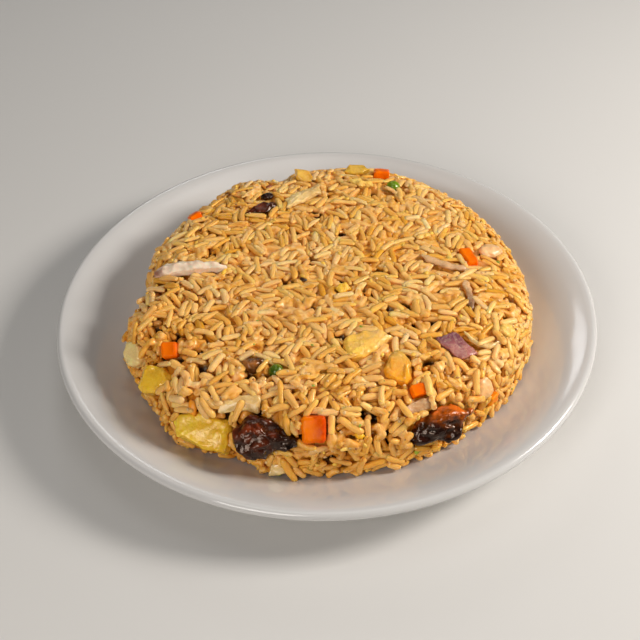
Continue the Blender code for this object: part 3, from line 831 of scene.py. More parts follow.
def drop_grain(pile, point, normal, size, floor, tilt, rng):
    """Drop a grain along the normal in several directions, and keep the one that sinks deepest."""
    length, girth, bend = size
    first, second = tangents(normal)
    yaw = rng.uniform(0.0, math.pi, TRIES)
    lean = np.radians(rng.normal(0.0, tilt, TRIES))
    flat = np.cos(yaw)[:, None] * first + np.sin(yaw)[:, None] * second
    ahead = np.cos(lean)[:, None] * flat + np.sin(lean)[:, None] * normal
    across = np.cross(normal, ahead)
    across /= np.linalg.norm(across, axis=1)[:, None]
    along = BALL_SHARES * (length - 0.6 * girth) * 0.5
    aside = bend * length * (0.3 - BALL_SHARES**2)
    offsets = along[None, :, None] * ahead[:, None, :] + aside[None, :, None] * across[:, None, :]
    radii = BALL_GIRTHS * girth * 0.5
    rise = offsets @ normal
    depth = (floor + radii[None, :] - rise).max(axis=1)
    touching = np.zeros((TRIES, len(radii)), dtype=int) - 1
    found = pile.near(point - normal * 1.5 * MM, 0.5 * length + 2 * MM)
    if len(found):
        gap = offsets[:, :, None, :] + (point - pile.centres[found])[None, None]
        ahead_gap = gap @ normal
        reach = (radii[None, :, None] + pile.radii[found][None, None, :]) * SETTLE
        spare = reach**2 - ((gap**2).sum(axis=3) - ahead_gap**2)
        lands = np.where(spare > 0.0, np.sqrt(np.maximum(spare, 0.0)) - ahead_gap, -1.0)
        depth = np.maximum(depth, lands.max(axis=(1, 2)))
        nearest = lands.argmax(axis=2)
        owners = pile.owners[found][nearest]
        touching = np.where(lands.max(axis=2) > -0.5, owners, -1)
    best = int(depth.argmin())
    top = depth[best] + (rise[best] + radii).max()
    centre = point + normal * depth[best]
    balls = offsets[best] + centre
    return {
        "centre": centre, "ahead": ahead[best], "across": across[best], "balls": balls,
        "radii": radii, "top": top, "owners": touching[best], "size": size,
    }


def clear_of_plate(grain):
    """True if the whole grain lies above the plate."""
    reach = np.hypot(grain["balls"][:, 0], grain["balls"][:, 1])
    return bool((grain["balls"][:, 2] >= plate_top(reach) + 0.85 * grain["radii"]).all())


def covers_topping(grain, names, rng):
    """True if too much of the grain lies over a topping."""
    more = int(rng.random() < MORE_COVER_CHANCE)
    for owner in set(grain["owners"]) - {-1}:
        if (grain["owners"] == owner).sum() > COVER.get(names[owner], USUAL_COVER) + more:
            return True
    return False


def grain_size(settings, rng, short):
    """Length, girth and bend of one grain. A short one is broken."""
    share = rng.uniform(0.35, 0.68) if short else float(np.clip(rng.normal(0.95, 0.13), 0.7, 1.25))
    girth = settings.girth * float(np.clip(rng.normal(1.0, 0.12), 0.75, 1.3))
    return settings.length * share, girth, abs(rng.normal(0.0, 0.05))


def bit_size(settings, rng):
    """Length, girth and bend of a crushed end of a grain."""
    girth = settings.girth * rng.uniform(0.5, 0.85)
    return girth * rng.uniform(1.1, 2.2), girth, 0.0


def ball_tree(pieces):
    """Search tree over the skins of the toppings."""
    points, faces = [], []
    for item in pieces:
        first = len(points)
        points += [corner.co for corner in item.data.vertices]
        faces += [[first + corner for corner in face.vertices] for face in item.data.polygons]
    return BVHTree.FromPolygons(points, faces)


def clear_of_toppings(grain, skins):
    """True if no ball of the grain lies in a topping."""
    for ball, radius in zip(grain["balls"], grain["radii"]):
        spot, normal, _, distance = skins.find_nearest(Vector(ball), 8 * MM)
        if spot is not None and (distance < 0.6 * radius or (Vector(ball) - spot).dot(normal) < 0.0):
            return False
    return True


def foot_place(azimuth, inset):
    """Point on the plate inside the heap's outline, and the plate's direction there."""
    angle = math.radians(azimuth)
    radius = heap_outline(azimuth) - inset
    place = np.array(HEAP_CENTRE) + radius * np.array((math.cos(angle), math.sin(angle), 0.0))
    reach = math.hypot(place[0], place[1])
    place[2] = plate_top(reach)
    slope = (plate_top(reach + MM) - plate_top(reach - MM)) / (2 * MM)
    normal = np.array((*(-place[:2] / reach * slope), 1.0))
    return place, normal / np.linalg.norm(normal)


def find_pits(rng):
    """Places and radii of the deep gaps, one row each."""
    spots = [(*surface_spot(rng), rng.uniform(*PIT_RADII)) for _ in range(PITS)]
    spots += [(azimuth, turn, radius * MM) for azimuth, turn, radius in NEAR_PITS]
    return np.array([(*heap_point(azimuth, turn), radius) for azimuth, turn, radius in spots])


def clump_height(point):
    """How far grains may stand out further at a point of the heap, for the clumps there."""
    height = 0.0
    for azimuth, turn, radius, most in CLUMPS:
        away = np.linalg.norm(point - np.array(heap_point(azimuth, turn)))
        height += most * MM * float(1.0 - smoothstep(away, 0.4 * radius * MM, radius * MM))
    return height


def in_pit(grain, pits):
    """True if the grain would close a deep gap."""
    gap = np.linalg.norm(grain["balls"][:, None, :] - pits[None, :, :3], axis=2)
    return bool((gap < pits[None, :, 3] + 0.6 * grain["radii"][:, None]).any())


def fill_heap(settings):
    """Every grain of the heap, dropped one after another, and the pits left between them."""
    rng = np.random.default_rng(settings.seed)
    pieces = [item for item in bpy.data.objects if "topping" in item]
    names = [item["topping"] for item in pieces]
    skins = ball_tree(pieces)
    pile = Pile(200000)
    pits = find_pits(rng)
    grains = []

    def keep(grain, azimuth, turn):
        grain.update(azimuth=azimuth, turn=turn)
        pile.add(grain["balls"], grain["radii"], -1)
        grains.append(grain)

    for _ in range(settings.foot_grains):
        azimuth = rng.uniform(0.0, 360.0)
        place, normal = foot_place(azimuth, rng.uniform(1.2 * MM, 8 * MM))
        grain = drop_grain(pile, place, normal, grain_size(settings, rng, False), 0.1 * MM, 6.0, rng)
        if grain["top"] < 5 * MM and clear_of_toppings(grain, skins):
            keep(grain, azimuth, 89.0)
    for index in range(settings.underlay_drops + settings.drops):
        if index == settings.underlay_drops:
            for owner, item in enumerate(pieces):
                points = read_points(item.data)[::3]
                normals = read_normals(item.data)[::3]
                pile.add(points - normals * TOPPING_BALL, np.full(len(points), TOPPING_BALL), owner)
        azimuth, turn = surface_spot(rng)
        point = np.array(heap_point(azimuth, turn))
        normal = np.array(heap_normal(azimuth, turn))
        loose = looseness(azimuth, turn)
        late = index > settings.underlay_drops + 0.65 * settings.drops
        size = grain_size(settings, rng, rng.random() < (0.45 if late else 0.12))
        grain = drop_grain(pile, point, normal, size, -CORE_DEPTH, 4.0 + 15.0 * loose, rng)
        if not clear_of_plate(grain) or in_pit(grain, pits):
            continue
        if index < settings.underlay_drops:
            if grain["top"] < UNDERLAY and clear_of_toppings(grain, skins):
                keep(grain, azimuth, turn)
            continue
        limit = 0.3 * MM + rng.uniform(0.0, 1.0) ** 2 * (0.8 + 2.2 * loose) * MM
        limit += clump_height(point)
        if (grain["owners"] >= 0).any():
            limit += OVER_TOPPING
        if grain["top"] < limit and not covers_topping(grain, names, rng):
            keep(grain, azimuth, turn)
    for _ in range(settings.bits):
        azimuth, turn = surface_spot(rng)
        point = np.array(heap_point(azimuth, turn))
        normal = np.array(heap_normal(azimuth, turn))
        grain = drop_grain(pile, point, normal, bit_size(settings, rng), -CORE_DEPTH, 20.0, rng)
        lies_low = grain["top"] < rng.uniform(*BIT_TOPS)
        clear = clear_of_plate(grain) and not in_pit(grain, pits)
        if lies_low and clear and (grain["owners"] < 0).all():
            keep(grain, azimuth, turn)
    return grains, pits


def surface_spot(rng):
    """Azimuth and turn of a random place, even over the heap's surface."""
    azimuth = rng.uniform(0.0, 360.0)
    share = rng.random()
    return azimuth, float(np.interp(share, SURFACE_SHARES, SURFACE_TURNS))


def surface_shares():
    """How much of the heap's surface lies inside each turn."""
    turns = np.linspace(0.0, 89.0, 90)
    points = [heap_point(0.0, float(turn)) - HEAP_CENTRE for turn in turns]
    bands = [0.0]
    for first, second in zip(points, points[1:]):
        bands.append((second - first).length * 0.5 * (first.x + second.x))
    total = np.cumsum(bands)
    return total / total[-1], turns


SURFACE_SHARES, SURFACE_TURNS = surface_shares()


def grain_tint(grain, rng):
    """Colour of a grain: tan from soy sauce, with paler and browner grains among them."""
    place = Vector(grain["centre"])
    stain = noise.fractal(place / (26 * MM), 0.9, 2.0, 3)
    pick = rng.normal(0.0, 0.36) + 0.5 * stain
    share = min(abs(pick), 0.95)
    other = RICE_BROWN if pick > 0.0 else RICE_PALE
    colour = (1.0 - share) * np.array(RICE_TAN) + share * np.array(other)
    # Grains low on the heap's front left side are turned yellower and a little darker.
    low = float(smoothstep(grain["turn"], 45.0, 75.0)) * front_share(grain["azimuth"])
    colour = (1.0 - 0.5 * low) * colour + 0.5 * low * np.array(RICE_YELLOW)
    return colour * float(np.clip(rng.normal(1.0, 0.06), 0.8, 1.2))


def grain_skins(grains, sides, rings, rng, swell=1.0):
    """Vertices and tints of many grains: each a bent and slightly flat lathe with blunt ends."""
    count = len(grains)
    turns = np.linspace(0.0, math.pi, rings + 2)[1:-1]
    shares = -np.cos(turns)[None, :, None]
    length, girth, bend = np.array([grain["size"] for grain in grains]).T[:, :, None, None]
    centre = np.array([grain["centre"] for grain in grains])[:, None, None, :]
    ahead = np.array([grain["ahead"] for grain in grains])[:, None, None, :]
    across = np.array([grain["across"] for grain in grains])[:, None, None, :]
    upward = np.cross(ahead, across)
    power = np.where(shares < 0.0, rng.uniform(3.5, 9.0, (count, 1, 1)), rng.uniform(3.5, 9.0, (count, 1, 1)))
    radius = 0.5 * girth * swell * np.sqrt(1.0 - np.abs(shares) ** power)
    phase = rng.uniform(0.0, math.tau, (count, 1, 1))
    radius = radius * (1.0 + 0.08 * np.sin(shares * rng.uniform(2.0, 6.0, (count, 1, 1)) + phase))
    radius = radius * (1.0 + 0.05 * rng.normal(size=(count, rings, sides)))
    roll = np.arange(sides)[None, None, :] * math.tau / sides + rng.uniform(0.0, math.tau, (count, 1, 1))
    aside = bend * length * (0.3 - shares**2)
    y = radius * np.cos(roll) + aside
    z = radius * np.sin(roll) * rng.uniform(0.72, 0.96, (count, 1, 1))
    x = shares * 0.5 * length + 0.0 * roll
    body = x[..., None] * ahead + y[..., None] * across + z[..., None] * upward + centre
    tip = np.array((-0.5, 0.5))[None, :, None] * length
    droop = -0.7 * bend * length + 0.0 * tip
    ends = centre[:, :, 0] + tip * ahead[:, :, 0] + droop * across[:, :, 0]
    points = np.concatenate((body.reshape(count, -1, 3), ends.reshape(count, 2, 3)), axis=1)
    tints = np.array([grain_tint(grain, rng) for grain in grains])[:, None, :]
    fade = 1.0 + 0.08 * rng.normal(size=(count, 1, 1)) * shares + 0.0 * roll
    fade = np.concatenate((fade.reshape(count, -1), np.ones((count, 2))), axis=1)
    return points, tints * fade[..., None]


def grain_faces(count, sides, rings):
    """Faces of many grains that are built alike: quads as index rows, then triangles."""
    side = np.arange(sides)
    after = (side + 1) % sides
    quads = []
    for ring in range(rings - 1):
        low = ring * sides
        quads.append(np.stack((low + side, low + after, low + sides + after, low + sides + side), 1))
    start, end, last = rings * sides, rings * sides + 1, (rings - 1) * sides
    caps = [
        np.stack((np.full(sides, start), after, side), 1),
        np.stack((np.full(sides, end), last + side, last + after), 1),
    ]
    shift = (np.arange(count) * (rings * sides + 2))[:, None, None]
    return (
        (np.vstack(quads)[None] + shift).reshape(-1, 4),
        (np.vstack(caps)[None] + shift).reshape(-1, 3),
    )


def build_mesh(name, points, *face_rows):
    """A mesh from arrays: its points, and the corners of its faces, one array for each face size."""
    mesh = bpy.data.meshes.new(name)
    mesh.vertices.add(len(points))
    mesh.vertices.foreach_set("co", points.ravel())
    corners = np.concatenate([rows.ravel() for rows in face_rows])
    sizes = np.concatenate([np.full(len(rows), rows.shape[1]) for rows in face_rows])
    mesh.loops.add(len(corners))
    mesh.loops.foreach_set("vertex_index", corners)
    mesh.polygons.add(len(sizes))
    mesh.polygons.foreach_set("loop_start", np.cumsum(sizes) - sizes)
    mesh.update(calc_edges=True)
    return mesh


def grain_mesh(name, grains, sides, rings, rng, swell=1.0, press=True):
    """One mesh of many grains."""
    points, tints = grain_skins(grains, sides, rings, rng, swell)
    points = points.reshape(-1, 3)
    mesh = build_mesh(name, pressed(points) if press else points, *grain_faces(len(grains), sides, rings))
    set_tint(mesh, stained_and_shaded(points, tints.reshape(-1, 3)))
    return mesh


def core_shape(pits):
    """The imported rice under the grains: lumpy, raised where it is crushed, and with its pits."""
    shape = bmesh.new()
    azimuths = [360.0 * index / CORE_SEGMENTS for index in range(CORE_SEGMENTS)]
    rings = []
    for step in range(1, CORE_RINGS + 1):
        ring = []
        for azimuth in azimuths:
            point = heap_point(azimuth, 89.0 * step / CORE_RINGS)
            normal = heap_normal(azimuth, 89.0 * step / CORE_RINGS)
            mush = float(smoothstep(noise.noise(point / MUSH_SIZE), -0.02, 0.3))
            lump = (0.5 + 0.5 * mush) * noise.fractal(point / LUMP_SIZE, 0.8, 2.0, 2) * MM
            away = np.linalg.norm(pits[:, :3] - np.array(point), axis=1)
            pit = float(np.exp(-(away / (pits[:, 3] * 1.3)) ** 2).max())
            full = PACKED_LIFT * (1.0 - looseness(azimuth, 89.0 * step / CORE_RINGS))
            lift = lump + CORE_RELIEF + max(full, MUSH_LIFT * mush) - CORE_DEPTH
            point += normal * (lift * (1.0 - pit) - (CORE_DEPTH + PIT_DEPTH) * pit)
            point.z = max(point.z, float(plate_top(math.hypot(point.x, point.y))) + 0.2 * MM)
            ring.append(shape.verts.new(point))
        rings.append(ring)
    crown = shape.verts.new(heap_point(0.0, 0.0) - Vector((0.0, 0.0, CORE_DEPTH)))
    base = shape.verts.new(HEAP_CENTRE + Vector((0.0, 0.0, WELL_HEIGHT + 0.2 * MM)))
    for index in range(CORE_SEGMENTS):
        after = (index + 1) % CORE_SEGMENTS
        shape.faces.new((crown, rings[0][index], rings[0][after]))
        shape.faces.new((base, rings[-1][after], rings[-1][index]))
        for inner, outer in zip(rings, rings[1:]):
            shape.faces.new((inner[index], outer[index], outer[after], inner[after]))
    bmesh.ops.recalc_face_normals(shape, faces=shape.faces)
    return shape


def sticky_tints(points, grains, rng):
    """Colour of the sticky rice at each point: that of the nearest grain."""
    tree = KDTree(len(grains) * len(BALL_SHARES))
    tints = [grain_tint(grain, rng) for grain in grains]
    for index, grain in enumerate(grains):
        for ball in grain["balls"]:
            tree.insert(Vector(ball), index)
    tree.balance()
    found = [tree.find(Vector(point)) for point in points]
    colours = np.array([tints[index] for _, index, _ in found])
    distance = np.array([far for _, _, far in found])
    paste = 0.5 * smoothstep(distance, *PASTE_REACH)[:, None]
    colours = colours * (1.0 - paste) + np.array(RICE_PASTE) * paste
    speckle = fractal(points, 1.7 * MM, 3, 2)[:, None]
    oily, pale = np.clip(0.9 * speckle, 0.0, 0.55), np.clip(-0.9 * speckle, 0.0, 0.5)
    colours = colours * (1.0 - oily - pale) + np.array(RICE_OILY_AND_SHADE) * oily + np.array(RICE_PALE) * pale
    return stained_and_shaded(points, colours)


def make_sticky_rice(grains, pits, material, rng):
    """The core with the grains that stick together on it, as one skin in four quarters."""
    shape = core_shape(pits)
    stuck = grain_mesh("stuck", grains, 7, 7, rng, 1.05, False)
    shape.from_mesh(stuck)
    bpy.data.meshes.remove(stuck)
    solid = bpy.data.meshes.new("solid")
    shape.to_mesh(solid)
    shape.free()
    skin = voxel_mesh(solid, STICKY_NET, 3, STICKY_KEPT)
    points = read_points(skin)
    tints = sticky_tints(points, grains, rng)
    points = points + read_normals(skin) * MUSH_RELIEF * fractal(points, 1.8 * MM, 5, 2)[:, None]
    points = pressed(points)
    skin.vertices.foreach_set("co", points.ravel())
    skin.update()
    normals = read_normals(skin)
    rows = np.empty(len(skin.polygons) * 3, dtype=int)
    skin.polygons.foreach_get("vertices", rows)
    rows = rows.reshape(-1, 3)
    middle = points[rows].mean(axis=1)
    reach = np.hypot(middle[:, 0], middle[:, 1])
    shown = (middle[:, 2] > plate_top(reach) + 1.0 * MM) | (reach > CORE_FOOT)
    left, near = middle[:, 0] < HEAP_CENTRE.x, middle[:, 1] < HEAP_CENTRE.y
    quarters = {
        "sticky_rice_front_left": left & near, "sticky_rice_front_right": ~left & near,
        "sticky_rice_back_left": left & ~near, "sticky_rice_back_right": ~left & ~near,
    }
    for name, side in quarters.items():
        used, corners = np.unique(rows[side & shown], return_inverse=True)
        mesh = build_mesh(name, points[used], corners.reshape(-1, 3))
        set_tint(mesh, tints[used])
        piece = link_mesh(name, mesh, material, "fried_rice")
        mesh.normals_split_custom_set_from_vertices([tuple(normal) for normal in normals[used]])
        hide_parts("rice")


def make_grains(settings):
    """All the grains: those that stick together as one skin, the others as one piece a kind."""
    material = rice_material()
    grains, pits = fill_heap(settings)
    rng = np.random.default_rng(settings.seed + 1)
    loose, stuck = [], []
    for grain in grains:
        patch = noise.noise(Vector(grain["centre"]) / (16 * MM))
        chance = settings.sticky + 0.6 * patch - 0.25 * looseness(grain["azimuth"], grain["turn"])
        small = grain["size"][0] < 2.5 * grain["size"][1]
        (stuck if small or grain["top"] < BURIED or rng.random() < chance else loose).append(grain)
    make_sticky_rice(stuck, pits, material, rng)
    kinds = {
        "rice_broken": [g for g in loose if g["size"][0] < 0.7 * settings.length],
        "rice_straight": [g for g in loose if g["size"][0] >= 0.7 * settings.length and g["size"][2] < 0.03],
        "rice_curved": [g for g in loose if g["size"][0] >= 0.7 * settings.length and g["size"][2] >= 0.03],
    }
    for name, members in kinds.items():
        link_mesh(name, grain_mesh(name, members, 8, 8, rng), material, "fried_rice")
        print(name, len(members), "grains")
    print("stuck", len(stuck), "grains")


# ---------------------------------------------------------------- crumbs

# Small bits on the rice: count, least and greatest length, and colour. Char and pepper are black.
CRUMBS = {
    "egg_crumbs": (170, 1.1 * MM, 2.8 * MM, "#F6C24A"),
    "starch_crumbs": (420, 0.8 * MM, 1.9 * MM, "#EBC285"),
    "brown_crumbs": (120, 0.7 * MM, 1.8 * MM, "#A9672A"),
    "char_specks": (170, 0.35 * MM, 0.9 * MM, "#1E0F08"),
    "herb_bits": (14, 1.0 * MM, 2.4 * MM, "#8EA022"),
}
# Single bits: azimuth and turn on the heap, length, width and thickness, and colour.
SINGLE_BITS = (
    (-84, 57, 4.4, 3.4, 3.0, "#FFC61E"),
    (-87, 64, 3.6, 3.0, 2.6, "#FFC02A"),
    (-69, 78, 3.8, 2.6, 2.2, "#9CB41E"),
    (-105, 86, 3.4, 2.4, 2.0, "#8C9A2A"),
    (-160, 8, 4.0, 2.6, 1.8, "#2A140C"),
    (-129, 54, 7.0, 4.0, 2.2, "#FFA016"),
    (-78, 9, 3.4, 2.6, 2.0, "#F0921C"),
    (113, 40, 4.0, 2.6, 2.0, "#8A3A10"),
    (179, 30, 4.2, 2.2, 1.4, "#FFC63A"),
    (-33, 31, 3.4, 1.8, 1.2, "#FFC838"),
    (142, 35, 2.8, 1.8, 1.2, "#F6BE30"),
)
CRUMB_CORNERS = 42


def rice_tree():
    """Search tree over all the rice that shows."""
    points, faces = [], []
    first = 0
    for item in bpy.data.objects:
        if item.get("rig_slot") == "fried_rice":
            count = len(item.data.vertices)
            points.append(read_points(item.data))
            faces += [[first + corner for corner in face.vertices] for face in item.data.polygons]
            first += count
    return BVHTree.FromPolygons(np.vstack(points).tolist(), faces)


def land(tree, azimuth, turn):
    """Where something that falls on the heap comes to rest, and the direction out of the heap."""
    normal = heap_normal(azimuth, turn)
    start = heap_point(azimuth, turn) + normal * 20 * MM
    spot = tree.ray_cast(start, -normal, 40 * MM)[0]
    return spot, normal


def crumb(shape, spot, normal, size, seed):
    """An uneven bit of food, lying on the rice."""
    made = bmesh.ops.create_icosphere(shape, subdivisions=2, radius=0.5)["verts"]
    turn = normal.to_track_quat("Z", "Y").to_matrix()
    spin = Matrix.Rotation(seed * 2.4, 3, "Z")
    for corner in made:
        swell = 1.0 + 0.35 * noise.noise(corner.co * 3.2 + Vector((seed, 0.0, 0.0)))
        flat = Vector(corner.co[axis] * size[axis] * swell for axis in range(3))
        corner.co = spot + turn @ (spin @ flat)


def make_crumbs(settings):
    """Egg, starch, char and herb bits all over the heap, and the larger single bits."""
    tree = rice_tree()
    rng = np.random.default_rng(settings.seed + 2)
    material = crumb_material()
    for name, (count, least, greatest, code) in CRUMBS.items():
        shape = bmesh.new()
        for index in range(count):
            azimuth, turn = surface_spot(rng)
            spot, normal = land(tree, azimuth, turn)
            if spot is None:
                continue
            length = rng.uniform(least, greatest)
            crumb(shape, spot, normal, (length, length * rng.uniform(0.5, 0.9), length * 0.5), index)
        mesh = bpy.data.meshes.new(name)
        shape.to_mesh(mesh)
        shape.free()
        bits = len(mesh.vertices) // CRUMB_CORNERS
        shade = np.repeat(np.clip(rng.normal(1.0, 0.12, bits), 0.7, 1.3), CRUMB_CORNERS)
        set_tint(mesh, np.array(srgb(code)) * shade[:, None])
        link_mesh(name, mesh, material, "egg" if name == "egg_crumbs" else "fried_rice")
    shape = bmesh.new()
    tints = []
    for index, (azimuth, turn, length, width, height, code) in enumerate(SINGLE_BITS):
        spot, normal = land(tree, azimuth, turn)
        crumb(shape, spot, normal, (length * MM, width * MM, height * MM), 5 + index)
        tints += [srgb(code)] * CRUMB_CORNERS
    mesh = bpy.data.meshes.new("single_bits")
    shape.to_mesh(mesh)
    shape.free()
    set_tint(mesh, np.array(tints))
    link_mesh("single_bits", mesh, material, "egg")


# ---------------------------------------------------------------- stage

# Soft lamps: azimuth and elevation in degrees, distance, size and colour.
LAMPS = {
    "key": (0.0, 35.0, 0.9, 0.26, (1.0, 0.95, 0.9)),
    "window": (100.0, 34.0, 1.1, 0.2, (0.94, 0.97, 1.0)),
    "top": (90.0, 80.0, 1.1, 0.6, (1.0, 0.98, 0.96)),
    "fill": (-116.0, 32.0, 1.1, 0.5, (1.0, 0.95, 0.9)),
}


def add_lamp(name, azimuth, elevation, distance, size, power, colour):
    """An area lamp that looks at the dish from an azimuth and an elevation in degrees."""
    data = bpy.data.lights.new(name, "AREA")
    data.energy = power
    data.size = size
    data.color = colour
    lamp = bpy.data.objects.new(name, data)
    flat = math.cos(math.radians(elevation))
    way = Vector((
        flat * math.cos(math.radians(azimuth)), flat * math.sin(math.radians(azimuth)),
        math.sin(math.radians(elevation)),
    ))
    lamp.location = way * distance
    lamp.rotation_euler = (-way).to_track_quat("-Z", "Y").to_euler()
    bpy.context.scene.collection.objects.link(lamp)


def make_stage(settings):
    """Pale floor, soft lamps and the camera."""
    shape = bmesh.new()
    bmesh.ops.create_grid(shape, x_segments=8, y_segments=8, size=1.6)
    mesh = bpy.data.meshes.new("floor")
    shape.to_mesh(mesh)
    shape.free()
    mesh.materials.append(floor_material(settings))
    floor = bpy.data.objects.new("floor", mesh)
    bpy.context.scene.collection.objects.link(floor)
    for name, (azimuth, elevation, distance, size, colour) in LAMPS.items():
        add_lamp(name, azimuth, elevation, distance, size, getattr(settings, name + "_power"), colour)
    world = bpy.data.worlds.new("soft_room")
    world.use_nodes = True
    world.node_tree.nodes["Background"].inputs["Color"].default_value = (0.97, 0.98, 1.0, 1.0)
    world.node_tree.nodes["Background"].inputs["Strength"].default_value = settings.room_light
    bpy.context.scene.world = world
    bpy.context.scene.view_settings.view_transform = "Standard"
    camera_data = bpy.data.cameras.new("camera")
    camera_data.lens = settings.lens
    camera_data.sensor_width = 36.0
    camera_data.clip_start = 0.02
    camera = bpy.data.objects.new("camera", camera_data)
    tilt = settings.camera_elevation
    up = Vector((0.0, math.sin(tilt), math.cos(tilt)))
    back = Vector((0.0, -math.cos(tilt), math.sin(tilt)))
    aim = Vector((-3.02 * MM, -10.81 * MM, RIM_HEIGHT))
    side = math.cos(settings.camera_roll) * Vector((1, 0, 0)) + math.sin(settings.camera_roll) * up
    upward = back.cross(side)
    camera.matrix_world = Matrix.Translation(aim + back * settings.camera_distance) @ Matrix(
        (side, upward, back)
    ).transposed().to_4x4()
    bpy.context.scene.collection.objects.link(camera)
    bpy.context.scene.camera = camera


# ---------------------------------------------------------------- settings

class FriedRicePlateSettings(bpy.types.PropertyGroup):
    """The plate's glaze."""
    glaze: FloatVectorProperty(
        name="Glaze", description="Colour of the porcelain under its glaze",
        default=srgb("#CFCDCA"), subtype="COLOR", min=0.0, max=1.0,
    )
    roughness: FloatProperty(
        name="Roughness", description="How dull the glaze is", default=0.16, min=0.02, max=1.0,
    )


class FriedRiceGrainSettings(bpy.types.PropertyGroup):
    """The rice's grains."""
    length: FloatProperty(
        name="Length", description="Length of a whole cooked grain",
        default=10.4 * MM, min=4 * MM, max=14 * MM, subtype="DISTANCE", unit="LENGTH",
    )
    girth: FloatProperty(
        name="Girth", description="Thickness of a cooked grain",
        default=3.15 * MM, min=1 * MM, max=5 * MM, subtype="DISTANCE", unit="LENGTH",
    )
    drops: IntProperty(
        name="Drops", description="Grains that are dropped on the heap; some find no room",
        default=15000, min=100, max=60000,
    )
    underlay_drops: IntProperty(
        name="Underlay drops", description="Grains that are dropped before the toppings lie on them",
        default=5000, min=0, max=20000,
    )
    bits: IntProperty(
        name="Bits", description="Crushed ends of grains that are dropped into the gaps",
        default=6000, min=0, max=30000,
    )
    sticky: FloatProperty(
        name="Sticky", description="Share of the grains that stick together",
        default=0.2, min=0.0, max=1.0, subtype="FACTOR",
    )
    foot_grains: IntProperty(
        name="Foot grains", description="Grains that are laid on the plate round the heap",
        default=420, min=0, max=2000,
    )
    seed: IntProperty(name="Seed", description="Start of the random numbers", default=64)


class FriedRiceStageSettings(bpy.types.PropertyGroup):
    """The floor, the lamps and the camera."""
    floor: FloatVectorProperty(
        name="Floor", description="Colour of the floor",
        default=srgb("#D6D4D0"), subtype="COLOR", min=0.0, max=1.0,
    )
    key_power: FloatProperty(name="Key", description="Power of the main lamp", default=7.8, unit="POWER")
    window_power: FloatProperty(
        name="Window", description="Power of the small cool lamp behind", default=0.6, unit="POWER",
    )
    top_power: FloatProperty(name="Top", description="Power of the lamp above", default=1.2, unit="POWER")
    fill_power: FloatProperty(name="Fill", description="Power of the fill lamp", default=5.3, unit="POWER")
    room_light: FloatProperty(name="Room light", description="Light from all round", default=0.08)
    lens: FloatProperty(name="Lens", description="Focal length in millimetres", default=70.405)
    camera_distance: FloatProperty(
        name="Distance", description="Distance from the camera to the dish",
        default=0.6, subtype="DISTANCE", unit="LENGTH",
    )
    camera_elevation: FloatProperty(
        name="Elevation", description="Angle of the camera above the table",
        default=math.radians(42.471), subtype="ANGLE", unit="ROTATION",
    )
    camera_roll: FloatProperty(
        name="Roll", description="How far the camera leans to its side",
        default=math.radians(-1.513), subtype="ANGLE", unit="ROTATION",
    )


# ---------------------------------------------------------------- operators

class FRIEDRICE_OT_plate(bpy.types.Operator):
    """Make the coupe plate"""
    bl_idname = "friedrice.plate"
    bl_label = "Coupe Plate"

    def execute(self, context):
        make_plate(context.scene.fried_rice_plate)
        return {"FINISHED"}


class FRIEDRICE_OT_pineapple(bpy.types.Operator):
    """Make the pineapple pieces"""
    bl_idname = "friedrice.pineapple"
    bl_label = "Pineapple"

    def execute(self, context):
        make_toppings("pineapple", pineapple_material())
        return {"FINISHED"}


class FRIEDRICE_OT_pork(bpy.types.Operator):
    """Make the roast pork"""
    bl_idname = "friedrice.pork"
    bl_label = "Roast Pork"

    def execute(self, context):
        make_toppings("roast_pork", pork_material())
        return {"FINISHED"}


class FRIEDRICE_OT_carrot(bpy.types.Operator):
    """Make the carrot dice"""
    bl_idname = "friedrice.carrot"
    bl_label = "Carrot Dice"

    def execute(self, context):
        make_toppings("carrot", carrot_material())
        return {"FINISHED"}


class FRIEDRICE_OT_peas(bpy.types.Operator):
    """Make the peas"""
    bl_idname = "friedrice.peas"
    bl_label = "Peas"

    def execute(self, context):
        make_toppings("green_pea", pea_material())
        return {"FINISHED"}


class FRIEDRICE_OT_onion(bpy.types.Operator):
    """Make the red onion and the cooked onion"""
    bl_idname = "friedrice.onion"
    bl_label = "Onion"

    def execute(self, context):
        material = onion_material()
        make_toppings("red_onion", material)
        make_toppings("cooked_onion", material)
        return {"FINISHED"}


class FRIEDRICE_OT_chicken(bpy.types.Operator):
    """Make the chicken pieces"""
    bl_idname = "friedrice.chicken"
    bl_label = "Chicken"

    def execute(self, context):
        make_toppings("chicken", chicken_material())
        return {"FINISHED"}


class FRIEDRICE_OT_egg(bpy.types.Operator):
    """Make the larger egg curds"""
    bl_idname = "friedrice.egg"
    bl_label = "Egg Curds"

    def execute(self, context):
        make_toppings("egg", egg_material())
        return {"FINISHED"}


class FRIEDRICE_OT_grains(bpy.types.Operator):
    """Drop the grains of rice onto the heap"""
    bl_idname = "friedrice.grains"
    bl_label = "Rice Grains"

    def execute(self, context):
        if not any("topping" in item for item in bpy.data.objects):
            raise RuntimeError("The toppings are made before the grains, which lie round them")
        make_grains(context.scene.fried_rice_grains)
        return {"FINISHED"}


class FRIEDRICE_OT_crumbs(bpy.types.Operator):
    """Scatter egg, starch, char and herb bits on the rice"""
    bl_idname = "friedrice.crumbs"
    bl_label = "Crumbs"

    def execute(self, context):
        make_crumbs(context.scene.fried_rice_grains)
        return {"FINISHED"}


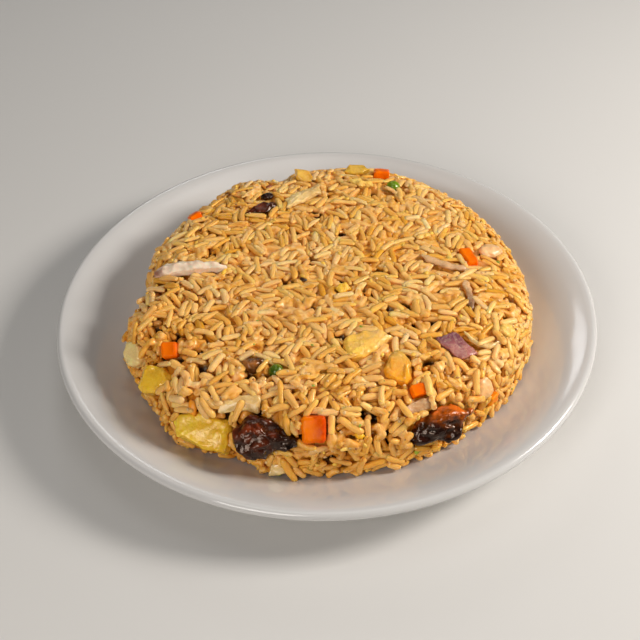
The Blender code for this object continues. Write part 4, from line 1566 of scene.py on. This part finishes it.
class FRIEDRICE_OT_stage(bpy.types.Operator):
    """Make the floor, the lamps and the camera"""
    bl_idname = "friedrice.stage"
    bl_label = "Stage"

    def execute(self, context):
        make_stage(context.scene.fried_rice_stage)
        return {"FINISHED"}


OPERATORS = (
    FRIEDRICE_OT_plate, FRIEDRICE_OT_pineapple, FRIEDRICE_OT_pork, FRIEDRICE_OT_carrot,
    FRIEDRICE_OT_peas, FRIEDRICE_OT_onion, FRIEDRICE_OT_chicken, FRIEDRICE_OT_egg,
    FRIEDRICE_OT_grains, FRIEDRICE_OT_crumbs, FRIEDRICE_OT_stage,
)


class FRIEDRICE_PT_panel(bpy.types.Panel):
    """Steps and settings of the dish"""
    bl_idname = "FRIEDRICE_PT_panel"
    bl_label = "Fried Rice Plate"
    bl_space_type = "VIEW_3D"
    bl_region_type = "UI"
    bl_category = "Food"

    def draw(self, context):
        for operator in OPERATORS:
            self.layout.operator(operator.bl_idname)
        for name in ("fried_rice_plate", "fried_rice_grains", "fried_rice_stage"):
            settings = getattr(context.scene, name)
            box = self.layout.box()
            for field in settings.__annotations__:
                box.prop(settings, field)


SETTINGS = {
    "fried_rice_plate": FriedRicePlateSettings,
    "fried_rice_grains": FriedRiceGrainSettings,
    "fried_rice_stage": FriedRiceStageSettings,
}


def register():
    """Add the settings, the operators and the panel."""
    for name, group in SETTINGS.items():
        bpy.utils.register_class(group)
        setattr(bpy.types.Scene, name, PointerProperty(type=group))
    for item in (*OPERATORS, FRIEDRICE_PT_panel):
        bpy.utils.register_class(item)


def unregister():
    """Take the panel, the operators and the settings away again."""
    for item in (FRIEDRICE_PT_panel, *reversed(OPERATORS)):
        bpy.utils.unregister_class(item)
    for name, group in SETTINGS.items():
        delattr(bpy.types.Scene, name)
        bpy.utils.unregister_class(group)


def main():
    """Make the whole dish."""
    register()
    for operator in OPERATORS:
        family, step = operator.bl_idname.split(".")
        getattr(getattr(bpy.ops, family), step)()


if __name__ == "__main__":
    main()
